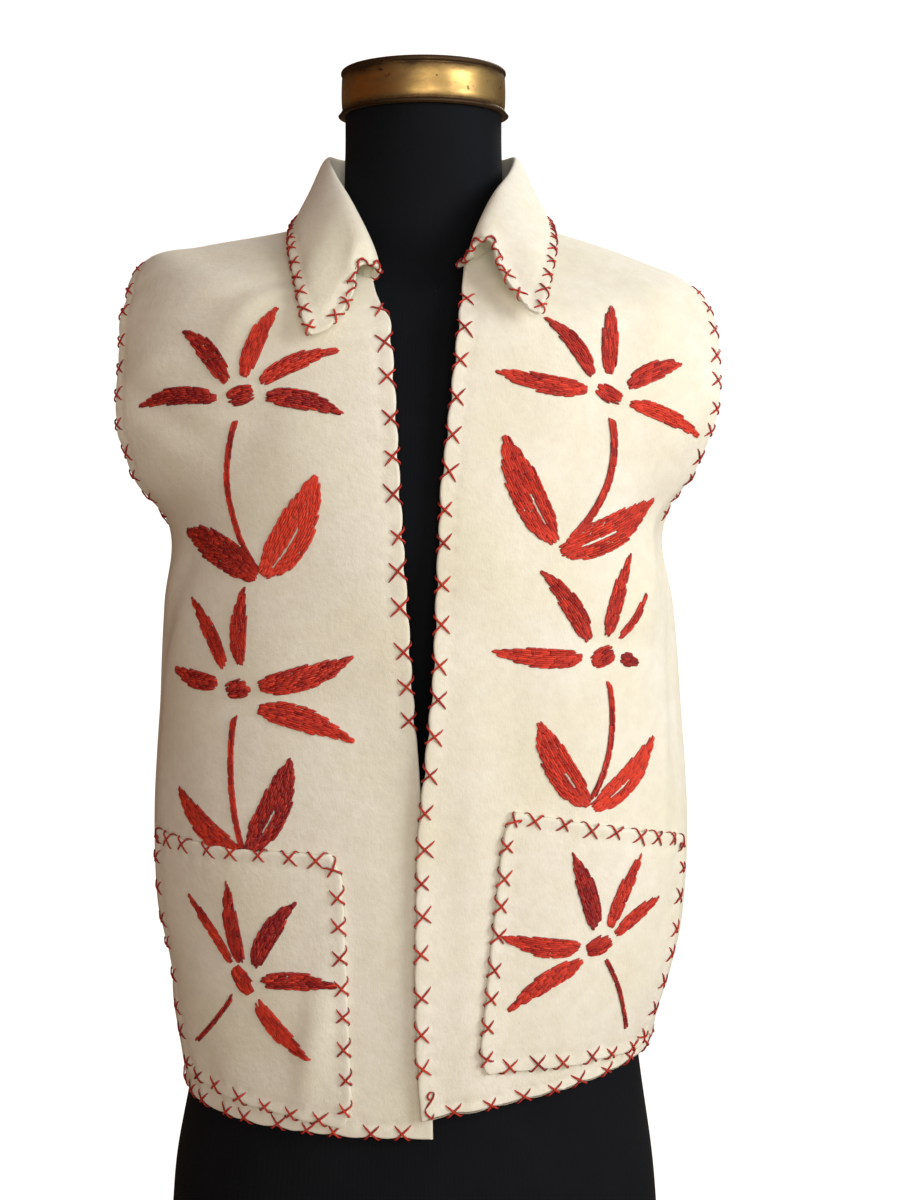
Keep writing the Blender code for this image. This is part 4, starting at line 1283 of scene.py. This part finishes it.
face, rows = front_rows(-1)
left_front = sewn_cloth("wool_front_left", "vest_front_left", face, front_grid(-1), rows)
face, rows = front_rows(1)
right_front = sewn_cloth("wool_front_right", "vest_front_right", face, front_grid(1), rows)
face, rows = back_rows()
back = sewn_cloth("wool_back", "vest_back", face, back_grid(), rows)
for side, word in ((-1, "left"), (1, "right")):
    face, rows = pocket_rows(side)
    sewn_cloth(
        "wool_pocket_" + word, "pocket_" + word, face, pocket_grid(side), rows)
collar = sewn_collar()
flowers = {name: embroidered(name, **flower) for name, flower in FLOWERS.items()}
ringed_form()
spun_cap()


# Stage, light and camera


def stage():
    """A pale floor, 0.4 mm below the form's base, that sweeps up into a backdrop: a flat, a
    quarter turn and a wall."""
    reach, bend, top, half = 1.6, 0.6, 2.6, 4.0
    turn = np.linspace(0, np.pi / 2, 24)
    back_y = np.concatenate([[-3.0], reach + bend * np.sin(turn), [reach + bend]])
    up_z = np.concatenate([[0.0], bend * (1 - np.cos(turn)), [top]]) - 0.0004
    side_x = np.array([-half, half])
    points = np.stack(np.broadcast_arrays(
        side_x[None, :], back_y[:, None], up_z[:, None]), axis=-1)
    index = np.arange(points.shape[0] * 2).reshape(-1, 2)
    floor = mesh_object("floor_and_backdrop", points, cell_faces(index).tolist(), white_board())


def soft_light(name, place, aim, size, power, code):
    """A square lamp that looks from its place at a point."""
    lamp = bpy.data.lights.new(name, "AREA")
    lamp.shape = "SQUARE"
    lamp.size = size
    lamp.energy = power
    lamp.color = colour(code)[:3]
    holder = bpy.data.objects.new(name, lamp)
    bpy.context.scene.collection.objects.link(holder)
    holder.location = place
    way = np.array(aim, float) - np.array(place, float)
    level = np.hypot(way[0], way[1])
    holder.rotation_euler = (np.arctan2(level, -way[2]), 0, np.arctan2(-way[0], way[1]))


def world_light():
    """A room's own light: bright beyond the window side on the right, brown and dim on the
    left. The camera sees white instead."""
    world = bpy.data.worlds.new("room")
    bpy.context.scene.world = world
    world.use_nodes = True
    tree = world.node_tree
    tree.nodes.clear()
    way = add(tree, "ShaderNodeTexCoord").outputs["Generated"]
    x = add(tree, "ShaderNodeSeparateXYZ", {"Vector": way}).outputs["X"]
    share = add(tree, "ShaderNodeMapRange", {
        "Value": x, "From Min": -0.8, "From Max": 0.8}).outputs["Result"]
    room = add(tree, "ShaderNodeMixRGB", {
        "Fac": share, "Color1": colour("#6E4020"), "Color2": colour("#AFB1B4")}).outputs["Color"]
    lit = add(tree, "ShaderNodeBackground", {"Color": room, "Strength": 1.0}).outputs[0]
    seen = add(tree, "ShaderNodeBackground", {"Color": colour("#FFFFFF"), "Strength": 1.0})
    ray = add(tree, "ShaderNodeLightPath").outputs["Is Camera Ray"]
    both = add(tree, "ShaderNodeMixShader", {0: ray, 1: lit, 2: seen.outputs[0]}).outputs[0]
    add(tree, "ShaderNodeOutputWorld", {"Surface": both})


# The camera looks level along +Y. The photo's frame is 900 by 1200 pixels, and the focal length
# is 1571 of them. The shift moves the frame to the right and down, below the camera's height.
CAMERA_PLACE = (0, -1.08, 0.568)
FRAME_HIGH = 1200
FOCAL_PIXELS = 1571
SHIFT_PIXELS = (28, -194)
SENSOR = 24.0


def camera():
    """The photograph's camera."""
    data = bpy.data.cameras.new("camera")
    data.sensor_fit = "VERTICAL"
    data.sensor_height = SENSOR
    data.lens = SENSOR * FOCAL_PIXELS / FRAME_HIGH
    data.shift_x = SHIFT_PIXELS[0] / FRAME_HIGH
    data.shift_y = SHIFT_PIXELS[1] / FRAME_HIGH
    holder = bpy.data.objects.new("camera", data)
    bpy.context.scene.collection.objects.link(holder)
    holder.location = CAMERA_PLACE
    holder.rotation_euler = (np.pi / 2, 0, 0)
    bpy.context.scene.camera = holder


stage()
soft_light("window", (1.42, -1.05, 0.98), (0, 0, 0.45), 0.9, 19.5, "#FFFEFA")
soft_light("room_front", (0.15, -2.3, 0.8), (0, 0, 0.45), 1.2, 18, "#FFFAF0")
soft_light("room_behind", (0.8, 1.5, 1.9), (0, 0, 0.45), 0.7, 20, "#FFFBF4")
world_light()
camera()
bpy.context.scene.view_settings.view_transform = "Standard"
